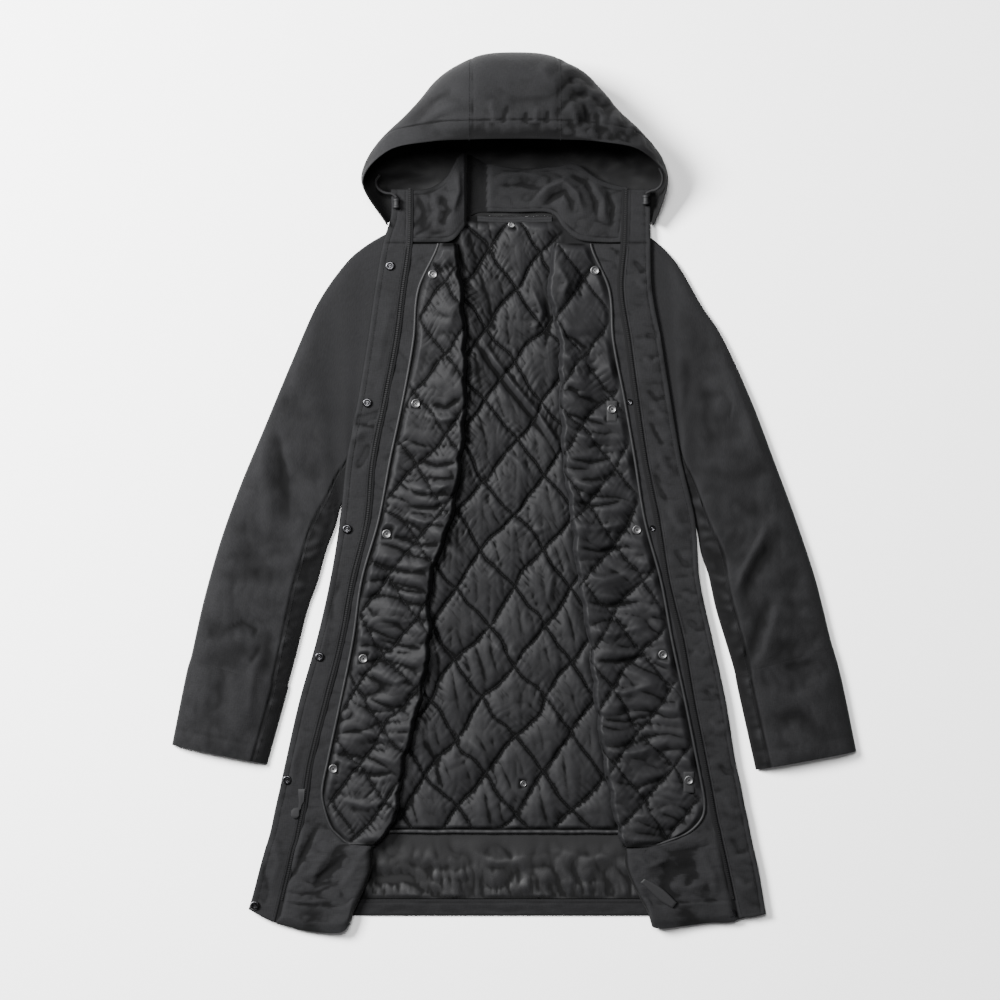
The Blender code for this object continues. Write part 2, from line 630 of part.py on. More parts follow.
def hood_grid():
    """Points of the hood's middle surface: hoops from the front edge to the neck, left to right."""
    marks = [0, 0.35, 0.7, 1, 1.33, 1.66, 2, 2.33, 2.66, 3, 3.5, 4, 4.5, 5]
    grid = []
    for k in [0, 0.5, 1, 1.5, 2, 2.5, 3, 3.5, 4, 4.5, 5, 6, 7, 8]:
        hoop = Hoop(*through(HOOPS, k))
        half = [(hoop.nx, hoop.ny, hoop.nz), (hoop.sx, hoop.sy, hoop.sz),
                (hoop.hx, hoop.hy, hoop.hz), (hoop.cx, hoop.cy, hoop.cz),
                (HOOD_SEAM_X, hoop.my, hoop.mz), (0, hoop.ty, hoop.tz)]
        mirrored = half + [(-x, y, z) for x, y, z in half[-2::-1]]
        row = []
        for t in marks + [10 - m for m in marks[-2::-1]]:
            x, y, z = through(mirrored, t)
            low = 1 - min(t, 10 - t)
            row.append((NECK_SHIFT * ease(low) - x, y, max(z, 0.9)))
        grid.append(row)
    return grid, marks


def hood():
    grid, marks = hood_grid()
    by = normals(grid)
    if by[6][13][2] < 0:
        by = [[tuple(-c for c in n) for n in row] for row in by]
    seam = len(marks) - 3
    last = len(grid[0]) - 1

    def piece(name, rows, cols, out, inside, trim):
        part = [[grid[i][j] for j in cols] for i in rows]
        normal = [[by[i][j] for j in cols] for i in rows]
        for row in part:
            for at, sign in trim:
                x, y, z = row[at]
                row[at] = (x + sign * GAP / 2, y, z)
        tops, bottoms = moved(part, normal, out), moved(part, normal, -inside)
        tops = [[(x, y, max(z, 0.0)) for x, y, z in row] for row in tops]
        bottoms = [[(x, y, max(z, 0.0)) for x, y, z in row] for row in bottoms]
        shut(name, tops, bottoms, "shell")

    half = HOOD_WALL / 2
    body = range(len(grid))
    piece("hood_side_r", body, range(0, seam + 1), half, half, ((-1, -1),))
    piece("hood_centre", body, range(seam, last - seam + 1), half, half, ((0, 1), (-1, -1)))
    piece("hood_side_l", body, range(last - seam, last + 1), half, half, ((0, 1),))


def collar():
    grid = []
    for v in steps(0, 1, 3):
        row = []
        for t in steps(0, len(COLLAR) - 1, 20):
            stand = Stand(*through(COLLAR, t))
            bow = 1.6 * math.sin(math.pi * v)
            row.append((stand.lx + (stand.ux - stand.lx) * v, stand.ly + (stand.uy - stand.ly) * v,
                        stand.low_z + (stand.up_z - stand.low_z) * v + bow
                        * ease((118 - abs(stand.lx)) / 30)))
        grid.append(row)
    shut("collar", lift_by(grid, COLLAR_WALL / 2), lift_by(grid, -COLLAR_WALL / 2), "shell")


# ---- Small pieces

def seat(name, x0, y0, x1, y1):
    """Height just above a piece's highest point inside an upright box."""
    mesh = bpy.data.objects[name].data
    mesh.calc_loop_triangles()
    tree = BVHTree.FromPolygons([v.co for v in mesh.vertices],
                                [t.vertices for t in mesh.loop_triangles])
    top = max((v.co.z for v in mesh.vertices if x0 * MM <= v.co.x <= x1 * MM
               and y0 * MM <= v.co.y <= y1 * MM), default=0.0)
    for x in steps(x0, x1, 6):
        for y in steps(y0, y1, 6):
            hit = tree.ray_cast(Vector((x * MM, y * MM, 1)), Vector((0, 0, -1)))[0]
            top = max(top, hit.z) if hit else top
    return top / MM + GAP


def disc(name, spot, z, radius, height, colour, dish, sides=9):
    """A round button or snap lying flat, its face dished."""
    profile = [(radius * 0.94, 0.0), (radius, height * 0.6), (radius * 0.86, height),
               (radius * 0.5, height - dish)]
    points = []
    for r, h in profile:
        for k in range(sides):
            a = 2 * math.pi * k / sides
            points.append((spot.x + r * math.cos(a), spot.y + r * math.sin(a), z + h))
    faces = [tuple(range(sides))[::-1], tuple(range(len(points) - sides, len(points)))]
    for i in range(len(profile) - 1):
        for k in range(sides):
            m = (k + 1) % sides
            a, b = i * sides, (i + 1) * sides
            faces.append((a + k, a + m, b + m, b + k))
    finish(name, points, faces, colour)


def tab(name, spot, z, angle, wide, long, thick, colour, start=-0.6):
    """A flat strip through a spot, turned by an angle from the coat's length."""
    ux, uy = math.sin(angle), math.cos(angle)
    tops = [[(spot.x + uy * across * wide / 2 + ux * along, spot.y - ux * across * wide / 2
              + uy * along, z + thick) for across in (-1, 0, 1)]
            for along in steps(start * long, (1 + start) * long, 3)]
    shut(name, tops, lifted(tops, z), colour, plain=True)


def plate(name, outline, z, thick, colour):
    """A flat piece cut to an outline."""
    count = len(outline)
    points = [(p.x, p.y, z) for p in outline] + [(p.x, p.y, z + thick) for p in outline]
    faces = [tuple(range(count))[::-1], tuple(range(count, 2 * count))]
    faces += [(i, (i + 1) % count, count + (i + 1) % count, count + i) for i in range(count)]
    finish(name, points, faces, colour)


def barrel(name, x, top_y, z):
    """A cord lock lying along the coat, its upper end at top_y."""
    sides, points = 10, []
    profile = ((0.0, 0.6), (-1.2, 1.0), (-LOCK_L * 0.45, 0.85), (-LOCK_L + 1.2, 1.0), (-LOCK_L, 0.6))
    for along, share in profile:
        for k in range(sides):
            a = 2 * math.pi * k / sides
            points.append((x + LOCK_R * share * math.cos(a), top_y + along,
                           z + LOCK_R * share * math.sin(a)))
    faces = [tuple(range(sides)), tuple(range(len(points) - sides, len(points)))[::-1]]
    for i in range(len(profile) - 1):
        for k in range(sides):
            m = (k + 1) % sides
            a, b = i * sides, (i + 1) * sides
            faces.append((a + m, a + k, b + k, b + m))
    finish(name, points, faces, "button")


def cord(name, path):
    curve = bpy.data.curves.new(name, "CURVE")
    curve.dimensions = "3D"
    curve.bevel_depth = CORD_R * MM
    curve.bevel_resolution = 2
    curve.use_fill_caps = True
    line = curve.splines.new("POLY")
    fine = [through(path, t) for t in steps(0, len(path) - 1, 3 * (len(path) - 1))]
    line.points.add(len(fine) - 1)
    for point, at in zip(line.points, fine):
        point.co = (*(c * MM for c in at), 1)
    material = bpy.data.materials.new(name)
    material.use_nodes = True
    shader = material.node_tree.nodes["Principled BSDF"]
    shader.inputs["Base Color"].default_value = (*COLOURS["cord"], 1)
    curve.materials.append(material)
    bpy.context.scene.collection.objects.link(bpy.data.objects.new(name, curve))


def trims():
    plate("zip_slider_r", SLIDER, LAID + STRIP + 0.5 + GAP, 2.2, "metal")
    plate("hem_tab", HEM_TAB, HEM_TAB_Z, 1.2, "shell")
    plate("hem_pull", HEM_PULL, HEM_TAB_Z + 1.2 + GAP, 1.4, "binding")
    for tag, path in (("r", RIGHT_CORD), ("l", LEFT_CORD)):
        end = path[-1]
        cord(f"hood_cord_{tag}", path)
        barrel(f"hood_lock_{tag}", end[0], end[1] - 1.2, end[2])


def fastenings():
    for i, spot in enumerate(STRIP_SNAPS):
        disc(f"strip_snap_{i + 1}", spot, LAID + STRIP + 0.5 + GAP, SNAP_R, SNAP_H, "metal", 1.0)
    for i, spot in enumerate(FACING_SNAPS):
        disc(f"facing_snap_{i + 1}", spot, LAID + FACING + GAP, 3.6, SNAP_H, "metal", 0.8)
    disc("hem_snap", HEM_SNAP, LAID + FACING + GAP, SNAP_R, SNAP_H, "metal", 1.0)
    for i, spot in enumerate(LINER_BUTTONS):
        side = "r" if spot.x < 0 else "l"
        tag = f"{side}{i % 5 + 1}"
        across, along = (TAB_W / 2, TAB_L * 0.6) if i in TABBED else (BUTTON_R - 1, BUTTON_R - 1)
        top = seat(f"liner_front_{side}", spot.x - across, spot.y - along, spot.x + across,
                   spot.y + BUTTON_R)
        if i in TABBED:
            tab(f"button_tab_{tag}", spot, top, 0.0, TAB_W, TAB_L, TAB_T, "satin")
            top += TAB_T + GAP
        disc(f"liner_button_{tag}", spot, top, BUTTON_R, BUTTON_H, "button", 0.6)
    for i, spot in enumerate(BACK_BUTTONS):
        z = seat("binding_back_neck" if i == 0 else "liner_back", spot.x - 3, spot.y - 3,
                 spot.x + 3, spot.y + 3)
        disc(f"back_button_{i + 1}", spot, z, 4.0, 1.8, "button", 0.5)


for item in list(bpy.data.objects):
    bpy.data.objects.remove(item)

back()
lining_back()
hem_facing()
liner_back()
bindings_back()
fronts()
sleeves()
hood()
collar()
fastenings()
trims()
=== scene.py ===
"""Hooded trench coat laid open on its back: cloth, quilting, trims and finishes over its solids.

Sizes in the tables are millimetres. X runs across the coat, +Y from the hem to the hood and +Z
up from the floor. The wearer's right is at -X.
"""
import math
from collections import namedtuple

import bpy
import numpy as np
from bpy.props import FloatProperty, FloatVectorProperty, PointerProperty
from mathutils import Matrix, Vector
from mathutils.bvhtree import BVHTree


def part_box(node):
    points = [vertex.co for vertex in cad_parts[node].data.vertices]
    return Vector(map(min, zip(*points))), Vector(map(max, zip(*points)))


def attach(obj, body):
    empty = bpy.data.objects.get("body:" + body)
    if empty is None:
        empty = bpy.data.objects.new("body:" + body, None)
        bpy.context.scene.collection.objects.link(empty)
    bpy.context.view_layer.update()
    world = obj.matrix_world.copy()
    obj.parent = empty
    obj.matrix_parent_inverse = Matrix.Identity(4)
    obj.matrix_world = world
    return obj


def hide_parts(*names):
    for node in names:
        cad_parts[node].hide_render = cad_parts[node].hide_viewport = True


bl_info = {
    "name": "Laid-out trench coat",
    "version": (1, 0, 0),
    "blender": (4, 5, 0),
    "location": "View3D > Sidebar > Coat",
    "description": "Builds the cloth, quilting and trims of a trench coat that lies open",
    "category": "Add Mesh",
}

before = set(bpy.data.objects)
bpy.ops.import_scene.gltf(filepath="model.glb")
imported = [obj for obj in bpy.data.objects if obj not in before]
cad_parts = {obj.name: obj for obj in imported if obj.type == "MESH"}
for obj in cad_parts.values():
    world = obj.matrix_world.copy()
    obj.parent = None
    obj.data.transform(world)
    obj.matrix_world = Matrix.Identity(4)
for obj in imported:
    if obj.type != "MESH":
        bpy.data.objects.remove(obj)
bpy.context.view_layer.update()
MM = 0.001

# ---- The coat's pattern, in millimetres

GAP = 0.3                    # between two pieces at a seam
BACK_TOP, BACK_LINING_FOOT, LINER_FOOT, LINER_TOP = 1.5, 1.8, 3.1, 5.1
BINDING_FOOT = 5.4
# A turned-back front: heights of its lower and upper layer, their bend, and its cloth.
LEG_LOW, LEG_UP, BEND, BEND_IN, SHELL = 6.15, 8.55, 1.2, 6.0, 1.5
LAID = 9.6                   # what lies on the turned-back fronts starts at this height
ROLL, ROLL_RISE, ROLL_RUN = 7.0, 7.0, 55.0  # soft roll inside a fold: height, rise and run
QUILT_X, QUILT_Y = 18.0, 23.0               # a quarter of a diamond's width and height
QUILT_HALF = 28.3            # from a quilting seam to the middle of the diamonds beside it
QUILT_SEAM_SHADE = 1.7             # half width of the painted shade along a quilting seam
NECK_Y, BACK_HEM_Y, HEM_START_Y = 346.0, -521.0, -440.0
FRONT_TOP_Y, STRIP_TOP_Y = 310.5, 378
HEM_FACING_Y, LINING_END_Y, ZIP_LOW_Y = -501.5, -499.7, -495
LINER_LOW_Y = -414.0
BEAD = 3.2                   # width of the piping
NECK_HALF = 96               # half the width of the back at the neck
STITCH_LIFT, QUILTING_LIFT = 0.12, 0.15      # thread over the cloth that it is sewn on
SEAM_TO_STITCH = 4.0
LEAST_CUT = 10               # the narrowest width that a cut is given

# How finely the larger pieces are drawn: millimetres between rows, or how many points.
QUILT_BACK_STEP, QUILT_BACK_COLUMNS = 1.8, 160
QUILT_FRONT_STEP, QUILT_FRONT_COLUMNS = 1.7, 66
LINING_COLUMNS, TURNING_COLUMNS, FACING_COLUMNS = 230, 220, 52
SLEEVE_ROWS, CUFF_ROWS, SLEEVE_TOP, SLEEVE_UNDER = 134, 36, 88, 26
HOOD_FRONT_ROWS, HOOD_BACK_ROWS, HOOD_COLUMNS = 72, 52, 200
COLLAR_COLUMNS, COLLAR_ROWS = 170, 46

Row = namedtuple("Row", "y seam edge zip liner fold")
RIGHT_FRONT = (
    Row(380, 148, 153, 131, 88, 70), Row(345, 149, 153, 131, 90, 72),
    Row(311, 150, 163, 132, 92, 72), Row(254, 163, 173, 140, 117, 64),
    Row(192, 173, 182, 148, 123, 60), Row(118, 184, 194, 162, 136, 60),
    Row(43, 195, 208, 177, 152, 65), Row(-31, 203, 216, 184, 166, 78),
    Row(-105, 213, 228, 202, 187, 102), Row(-180, 229, 245, 216, 198, 104),
    Row(-254, 247, 266, 235, 213, 116), Row(-329, 266, 283, 254, 229, 135),
    Row(-366, 275, 291, 260, 236, 141), Row(-388, 280, 296, 263, 233, 144),
    Row(-412, 286, 301, 268, 224, 152), Row(-427, 289, 305, 271, 209, 166),
    Row(-436, 291, 308, 274, 200, 174), Row(-465, 298, 316, 281, 200, 176),
    Row(-521, 311, 329, 296, 226, 200),
)
LEFT_FRONT = (
    Row(380, 150, 168, 139, 90, 50), Row(311, 152, 168, 137, 92, 48),
    Row(254, 166, 170, 133, 115, 41), Row(192, 175, 181, 142, 120, 54),
    Row(118, 186, 193, 152, 134, 56), Row(43, 198, 206, 163, 147, 60),
    Row(-31, 208, 223, 178, 159, 70), Row(-105, 216, 229, 190, 179, 78),
    Row(-180, 231, 245, 208, 193, 91), Row(-254, 247, 261, 221, 209, 99),
    Row(-329, 261, 273, 236, 224, 110), Row(-360, 266, 280, 242, 230, 116),
    Row(-382, 271, 284, 246, 233, 120), Row(-399, 275, 288, 249, 230, 124),
    Row(-415, 278, 291, 253, 216, 127), Row(-425, 280, 293, 255, 197, 130),
    Row(-434, 282, 295, 257, 172, 134), Row(-465, 288, 302, 264, 172, 138),
    Row(-521, 296, 311, 277, 200, 166),
)
Drop = namedtuple("Drop", "out y")
RIGHT_HEM = (Drop(200, 0), Drop(208, -15), Drop(219, -20), Drop(257, -18), Drop(281, -12),
             Drop(305, -4), Drop(329, 9))
LEFT_HEM = (Drop(166, 0), Drop(171, -13), Drop(208, -12), Drop(241, -8), Drop(270, -7),
            Drop(280, -2), Drop(294, -1), Drop(311, 3))

Section = namedtuple("Section", "ox oy ix iy height seam")
RIGHT_SLEEVE = (
    Section(-155, 326, -199, 31, 5.0, 40), Section(-184, 309, -203, 17, 5.4, 40),
    Section(-210, 286, -208, 1, 7.2, 40), Section(-244, 237, -216, -16, 8.5, 40),
    Section(-276, 165, -222, -38, 13.0, 38), Section(-313, 76, -234, -71, 15.0, 37),
    Section(-340, 11, -245, -110, 16.0, 33), Section(-364, -56, -256, -140, 17.0, 26),
    Section(-385, -130, -270, -195, 17.0, 22), Section(-400, -197, -280, -232, 17.0, 19),
    Section(-407, -224, -283, -247, 17.0, 18), Section(-424, -309, -307, -333, 16.0, 18),
)
LEFT_SLEEVE = (
    Section(170, 318, 203, 31, 5.0, 40), Section(187, 303, 208, 16, 6.4, 40),
    Section(205, 281, 211.5, 1, 9.6, 40), Section(232, 234, 219, -20, 9.6, 40),
    Section(257, 196, 226, -44, 13.0, 38), Section(292, 120, 231, -72, 15.0, 37),
    Section(324, 36, 240, -99, 16.0, 33), Section(349, -32, 249, -140, 17.0, 26),
    Section(373, -105, 261, -180, 17.0, 22), Section(391, -177, 272, -217, 17.0, 19),
    Section(405, -229, 278, -246, 17.0, 18), Section(423, -317, 299, -340, 16.0, 18),
)
SLEEVE_WALL, CUFF_WALL, CUFF_FROM, SLEEVE_EDGE = 1.4, 1.8, 9.25, 2.5

Hoop = namedtuple("Hoop", "nx ny nz sx sy sz hx hy hz cx cy cz my mz ty tz")
HOOPS = (
    Hoop(163, 333, 17, 186, 384, 40, 154, 417, 76, 104, 426, 93, 428, 100, 428.5, 103),
    Hoop(165, 335, 12, 188, 392, 22, 155, 438, 66, 105, 452, 89, 458, 105, 459, 108),
    Hoop(163, 337, 8, 184, 402, 8, 144, 452, 44, 104, 483, 76, 497, 100, 500, 103),
    Hoop(160, 339, 4.5, 172, 398, 1.4, 130, 455, 18, 100, 501, 52, 523, 79, 528, 83),
    Hoop(154, 341, 2.5, 154, 392, 0.9, 118, 450, 4, 97, 503, 26, 533, 48, 540, 51),
    Hoop(146, 343, 1.4, 138, 388, 0.9, 108, 442, 0.9, 90, 492, 5, 525, 16, 533, 18),
    Hoop(134, 345, 1.0, 122, 382, 0.9, 96, 425, 0.9, 78, 463, 0.9, 496, 1.2, 506, 1.6),
    Hoop(118, 346.5, 0.9, 106, 368, 0.9, 86, 392, 0.9, 68, 412, 0.9, 428, 0.9, 432, 0.9),
    Hoop(100, 346, 0.9, 90, 346, 0.9, 76, 346, 0.9, 64, 346, 0.9, 346, 0.9, 346, 0.9),
)
HOOD_WALL, HOOD_SEAM_X, NECK_SHIFT = 1.6, 52.0, 7.0

Stand = namedtuple("Stand", "lx ly ux uy low_z up_z")
COLLAR = (
    Stand(-130.6, 312.5, -130.6, 377, 9.9, 9.9), Stand(-102, 312.5, -106, 379, 9.9, 10.5),
    Stand(-78, 314, -84, 392, 9.9, 12.0), Stand(-62, 331, -62, 413, 9.0, 13.0),
    Stand(-48, 349, -34, 409, 6.0, 10.0), Stand(0, 350, 8, 404, 5.0, 6.5),
    Stand(44, 349, 50, 406, 6.0, 10.0), Stand(60, 331, 74, 409, 9.0, 13.0),
    Stand(78, 316, 98, 394, 9.9, 12.0), Stand(106, 312.5, 118, 385, 9.9, 10.5),
    Stand(131.5, 312.5, 139, 381, 9.9, 9.9),
)
COLLAR_WALL = 1.8

# Hood cords, from the hood's edge to a barrel lock: x, y, z.
CORD_R = 1.5
CORDS = {
    "r": ((-166, 394, 25), (-171, 386, 21), (-168, 378, 18), (-160, 373, 17),
          (-151, 371.5, 16.4), (-146, 367.4, 16.2)),
    "l": ((178, 402, 29), (182, 392, 27), (181, 383, 22), (175, 377, 18.4),
          (168, 375, 16.8), (162, 371.9, 16.3)),
}

# Folds of the cloth: a path, half width, height (a trough is negative) and how far the steeper
# side is to the left of the path. Each was placed one by one.
Fold = namedtuple("Fold", "path wide high lean", defaults=(0.0,))
SLEEVE_FOLDS = (
    Fold(((-300, 96), (-283, 20), (-279, -50)), 12, -3.6, 0.3),
    Fold(((-320, 70), (-304, 0), (-298, -60)), 16, 3.0),
    Fold(((-340, -20), (-330, -70), (-320, -120)), 18, -1.8),
    Fold(((-352, -210), (-344, -250), (-346, -300)), 16, 1.6),
    Fold(((-300, -160), (-304, -200), (-312, -236)), 10, -2.0),
    Fold(((-358, -165), (-336, -157), (-318, -165), (-323, -178)), 3.4, -1.5, 0.4),
    Fold(((-350, -176), (-330, -176), (-322, -190)), 8, 1.2),
    Fold(((-312, -184), (-320, -198), (-328, -208)), 4, -1.6),
    Fold(((-318, -198), (-326, -240), (-330, -286)), 11, 2.0, 0.2),
    Fold(((270, -128), (280, -96), (298, -62), (316, -30)), 8, 3.0, 0.4),
    Fold(((284, -128), (296, -96), (314, -66), (334, -34)), 11, -2.2),
    Fold(((276, -208), (290, -200), (300, -168), (318, -112)), 10, -2.2),
    Fold(((288, -216), (308, -196), (318, -160), (334, -110)), 12, 2.6, 0.2),
    Fold(((262, 118), (274, 124), (290, 96), (306, 40)), 16, 3.0),
    Fold(((212, 176), (216, 140), (210, 96)), 9, -3.2),
    Fold(((236, 150), (238, 100), (246, 40)), 14, -2.6),
    Fold(((330, -214), (352, -210), (376, -204)), 7, -1.4),
    Fold(((352, -232), (372, -262), (392, -300)), 16, 1.8),
)


def ease(t):
    t = np.clip(t, 0.0, 1.0)
    return t * t * (3 - 2 * t)


def column(rows, key, name, at):
    """One column of a table, as a smooth curve through its rows."""
    keys = np.array([getattr(row, key) for row in rows], float)
    values = np.array([getattr(row, name) for row in rows], float)
    if keys[0] > keys[-1]:
        keys, values = keys[::-1], values[::-1]
    ends = np.arange(len(keys))
    lo, hi = np.maximum(ends - 1, 0), np.minimum(ends + 1, len(keys) - 1)
    slope = (values[hi] - values[lo]) / (keys[hi] - keys[lo])
    at = np.clip(at, keys[0], keys[-1])
    i = np.clip(np.searchsorted(keys, at, "right") - 1, 0, len(keys) - 2)
    span = keys[i + 1] - keys[i]
    t = (at - keys[i]) / span
    return ((2 * t**3 - 3 * t**2 + 1) * values[i] + (t**3 - 2 * t**2 + t) * slope[i] * span
            + (3 * t**2 - 2 * t**3) * values[i + 1] + (t**3 - t**2) * slope[i + 1] * span)


def through(points, t):
    """Points on the smooth curve through a list of points, t counting them."""
    points = np.asarray(points, float)
    t = np.asarray(t, float)
    i = np.clip(t.astype(int), 0, len(points) - 2)
    f = (t - i).reshape(t.shape + (1,) * (points.ndim - 1))
    p, q = points[np.maximum(i - 1, 0)], points[i]
    r, s = points[i + 1], points[np.minimum(i + 2, len(points) - 1)]
    return 0.5 * (2 * q + (r - p) * f + (2 * p - 5 * q + 4 * r - s) * f * f
                  + (3 * q - 3 * r + s - p) * f**3)


def bell(away, wide):
    """1 on a line, falling to 0 beside it."""
    return np.exp(-(away / wide) ** 2)


def rounded(near, radius):
    """From 0 on an edge to 1 inside it, along a quarter circle."""
    return np.sqrt(1 - (1 - np.clip(near / radius, 0, 1)) ** 2)


def uneven(x, y, wide, high, seed):
    """Smooth uneven height from -1 to 1, its bumps about wide by high millimetres.

    Each use has a seed of its own, so that no two patterns are alike.
    """
    gx, gy = x / wide + seed * 17.31, y / high + seed * 5.77
    ix, iy = np.floor(gx).astype(np.int64), np.floor(gy).astype(np.int64)
    fx, fy = ease(gx - ix), ease(gy - iy)

    def slope(a, b):
        h = ((ix + a) * 374761393 + (iy + b) * 668265263 + seed * 1442695041) & 0xFFFFFFFF
        h = ((h ^ (h >> 13)) * 1274126177) & 0xFFFFFFFF
        turn = ((h ^ (h >> 16)) & 0xFFFF) * (2 * math.pi / 65536)
        return np.cos(turn) * (gx - ix - a) + np.sin(turn) * (gy - iy - b)

    low = slope(0, 0) * (1 - fx) + slope(1, 0) * fx
    top = slope(0, 1) * (1 - fx) + slope(1, 1) * fx
    return 1.7 * (low * (1 - fy) + top * fy)


def creased(x, y, wide, high, seed):
    """Uneven height from -1 to 1 with sharp valleys, as cloth that has been crumpled keeps."""
    return 2.6 * np.sqrt(uneven(x, y, wide, high, seed) ** 2 + 0.002) - 1


def folded(x, y, table, strength=1.0):
    """Height of the folds in a table, tapering to their ends."""
    total = np.zeros(np.broadcast(x, y).shape)
    for fold in table:
        best = np.full(total.shape, 1e9)
        where, side = np.zeros(total.shape), np.zeros(total.shape)
        count = len(fold.path) - 1
        for k, ((x0, y0), (x1, y1)) in enumerate(zip(fold.path, fold.path[1:])):
            dx, dy = x1 - x0, y1 - y0
            t = np.clip(((x - x0) * dx + (y - y0) * dy) / (dx * dx + dy * dy), 0, 1)
            away = np.hypot(x - x0 - t * dx, y - y0 - t * dy)
            closer = away < best
            best = np.where(closer, away, best)
            where = np.where(closer, (k + t) / count, where)
            side = np.where(closer, np.sign((x - x0) * dy - (y - y0) * dx), side)
        wide = fold.wide * (1 + fold.lean * side)
        taper = ease(np.minimum(where, 1 - where) * 3 + 0.12)
        total += fold.high * taper / (1 + (best / wide) ** 2) ** 1.6
    return total * strength


def level(x, y, z):
    """A grid of points at one height."""
    return np.stack([x, y, np.full(x.shape, z)], -1)


def down(start, end, step):
    """Rows from one height to a lower one, the last of them at its end."""
    return np.concatenate([np.arange(start, end, -step), [end]])


def between(ys, start, end, columns):
    """x and y of rows of points, spread evenly from one edge to the other."""
    x = start[:, None] + (end - start)[:, None] * np.linspace(0, 1, columns)
    return x, np.repeat(ys[:, None], columns, 1)


class Front:
    """One turned-back front: its outline and where its points lie.

    liner_end is its quilt's lower edge, and above calm_above the quilt has few gathers.
    """

    def __init__(self, tag, sign, rows, hem, liner_end, calm_above):
        self.tag, self.sign, self.rows, self.hem = tag, sign, rows, hem
        self.liner_end, self.calm_above = liner_end, calm_above

    def at(self, name, y):
        return column(self.rows, "y", name, y)

    def place(self, out, y, z):
        """Points of the front, its lower rows moved down to the curved hem."""
        drop = column(self.hem, "out", "y", out)
        share = np.clip((HEM_START_Y - y) / (HEM_START_Y - BACK_HEM_Y), 0, None) ** 2
        return np.stack(np.broadcast_arrays(self.sign * out, y + drop * share, z), -1)


RIGHT = Front("r", -1, RIGHT_FRONT, RIGHT_HEM, -431, 30)
LEFT = Front("l", 1, LEFT_FRONT, LEFT_HEM, -434, 150)
FRONTS = (RIGHT, LEFT)


def roll(past_fold):
    """Height of the soft roll at a distance inside the fold line."""
    return ROLL * np.where(past_fold < ROLL_RISE, ease(past_fold / ROLL_RISE),
                           1 - ease((past_fold - ROLL_RISE) / ROLL_RUN))


# ---- Meshes

def normals(grid):
    """The unit normal at each point of a grid."""
    by = np.cross(np.gradient(grid, axis=1), np.gradient(grid, axis=0))
    return by / np.maximum(np.linalg.norm(by, axis=-1, keepdims=True), 1e-9)


def new_object(name, data):
    """An object in the scene that shows a mesh, a curve, a light or a camera."""
    obj = bpy.data.objects.new(name, data)
    bpy.context.scene.collection.objects.link(obj)
    return obj


def averaged(height, axis, r):
    """The mean of each value and its r neighbours on both sides along one axis."""
    wide = [(0, 0), (0, 0)]
    wide[axis] = (r + 1, r)
    run = np.cumsum(np.pad(height, wide, mode="edge"), axis=axis)
    count = run.shape[axis]
    return (np.take(run, range(2 * r + 1, count), axis)
            - np.take(run, range(0, count - 2 * r - 1), axis)) / (2 * r + 1)


def hollow_of(grid, reach=6.0, deep=1.5):
    """How far each point lies under the cloth round it, from -1 on a ridge to 1 in a valley."""
    height = grid[..., 2]
    for axis in (0, 1):
        step = float(np.median(np.linalg.norm(np.diff(grid[..., :2], axis=axis), axis=-1)))
        r = int(np.clip(round(reach / 1.6 / max(step, 0.3)), 1, 14))
        r = min(r, max(1, height.shape[axis] // 2 - 1))
        for _ in range(3):
            height = averaged(height, axis, r)
    return np.clip((height - grid[..., 2]) / deep, -1, 1)


def mesh_object(name, points, faces, material, uv=None, angle=50, hollow=None):
    """A closed mesh from points in millimetres, its faces outwards and its UV map in metres."""
    mesh = bpy.data.meshes.new(name)
    points = np.asarray(points, float) * MM
    mesh.from_pydata(points.tolist(), [], faces)
    mesh.validate()
    mesh.calc_loop_triangles()
    corners = np.empty(len(mesh.loop_triangles) * 3, np.int32)
    mesh.loop_triangles.foreach_get("vertices", corners)
    a, b, c = points[corners.reshape(-1, 3)].transpose(1, 0, 2)
    if np.einsum("ij,ij->", a, np.cross(b, c)) < 0:
        mesh.flip_normals()
    place = points[:, :2] if uv is None else np.asarray(uv, float) * MM
    loops = np.empty(len(mesh.loops), np.int32)
    mesh.loops.foreach_get("vertex_index", loops)
    mesh.uv_layers.new(name="cloth").data.foreach_set("uv", place[loops].ravel())
    # Painted shading per point: positive values paint shade, negative values paint a highlight.
    if hollow is not None:
        shading_per_point = np.zeros(len(points), np.float32)
        shading_per_point[:hollow.size] = hollow.ravel()
        mesh.attributes.new("hollow", "FLOAT", "POINT").data.foreach_set("value", shading_per_point)
    mesh.materials.append(material)
    mesh.shade_smooth()
    mesh.set_sharp_from_angle(angle=math.radians(angle))
    return new_object(name, mesh)


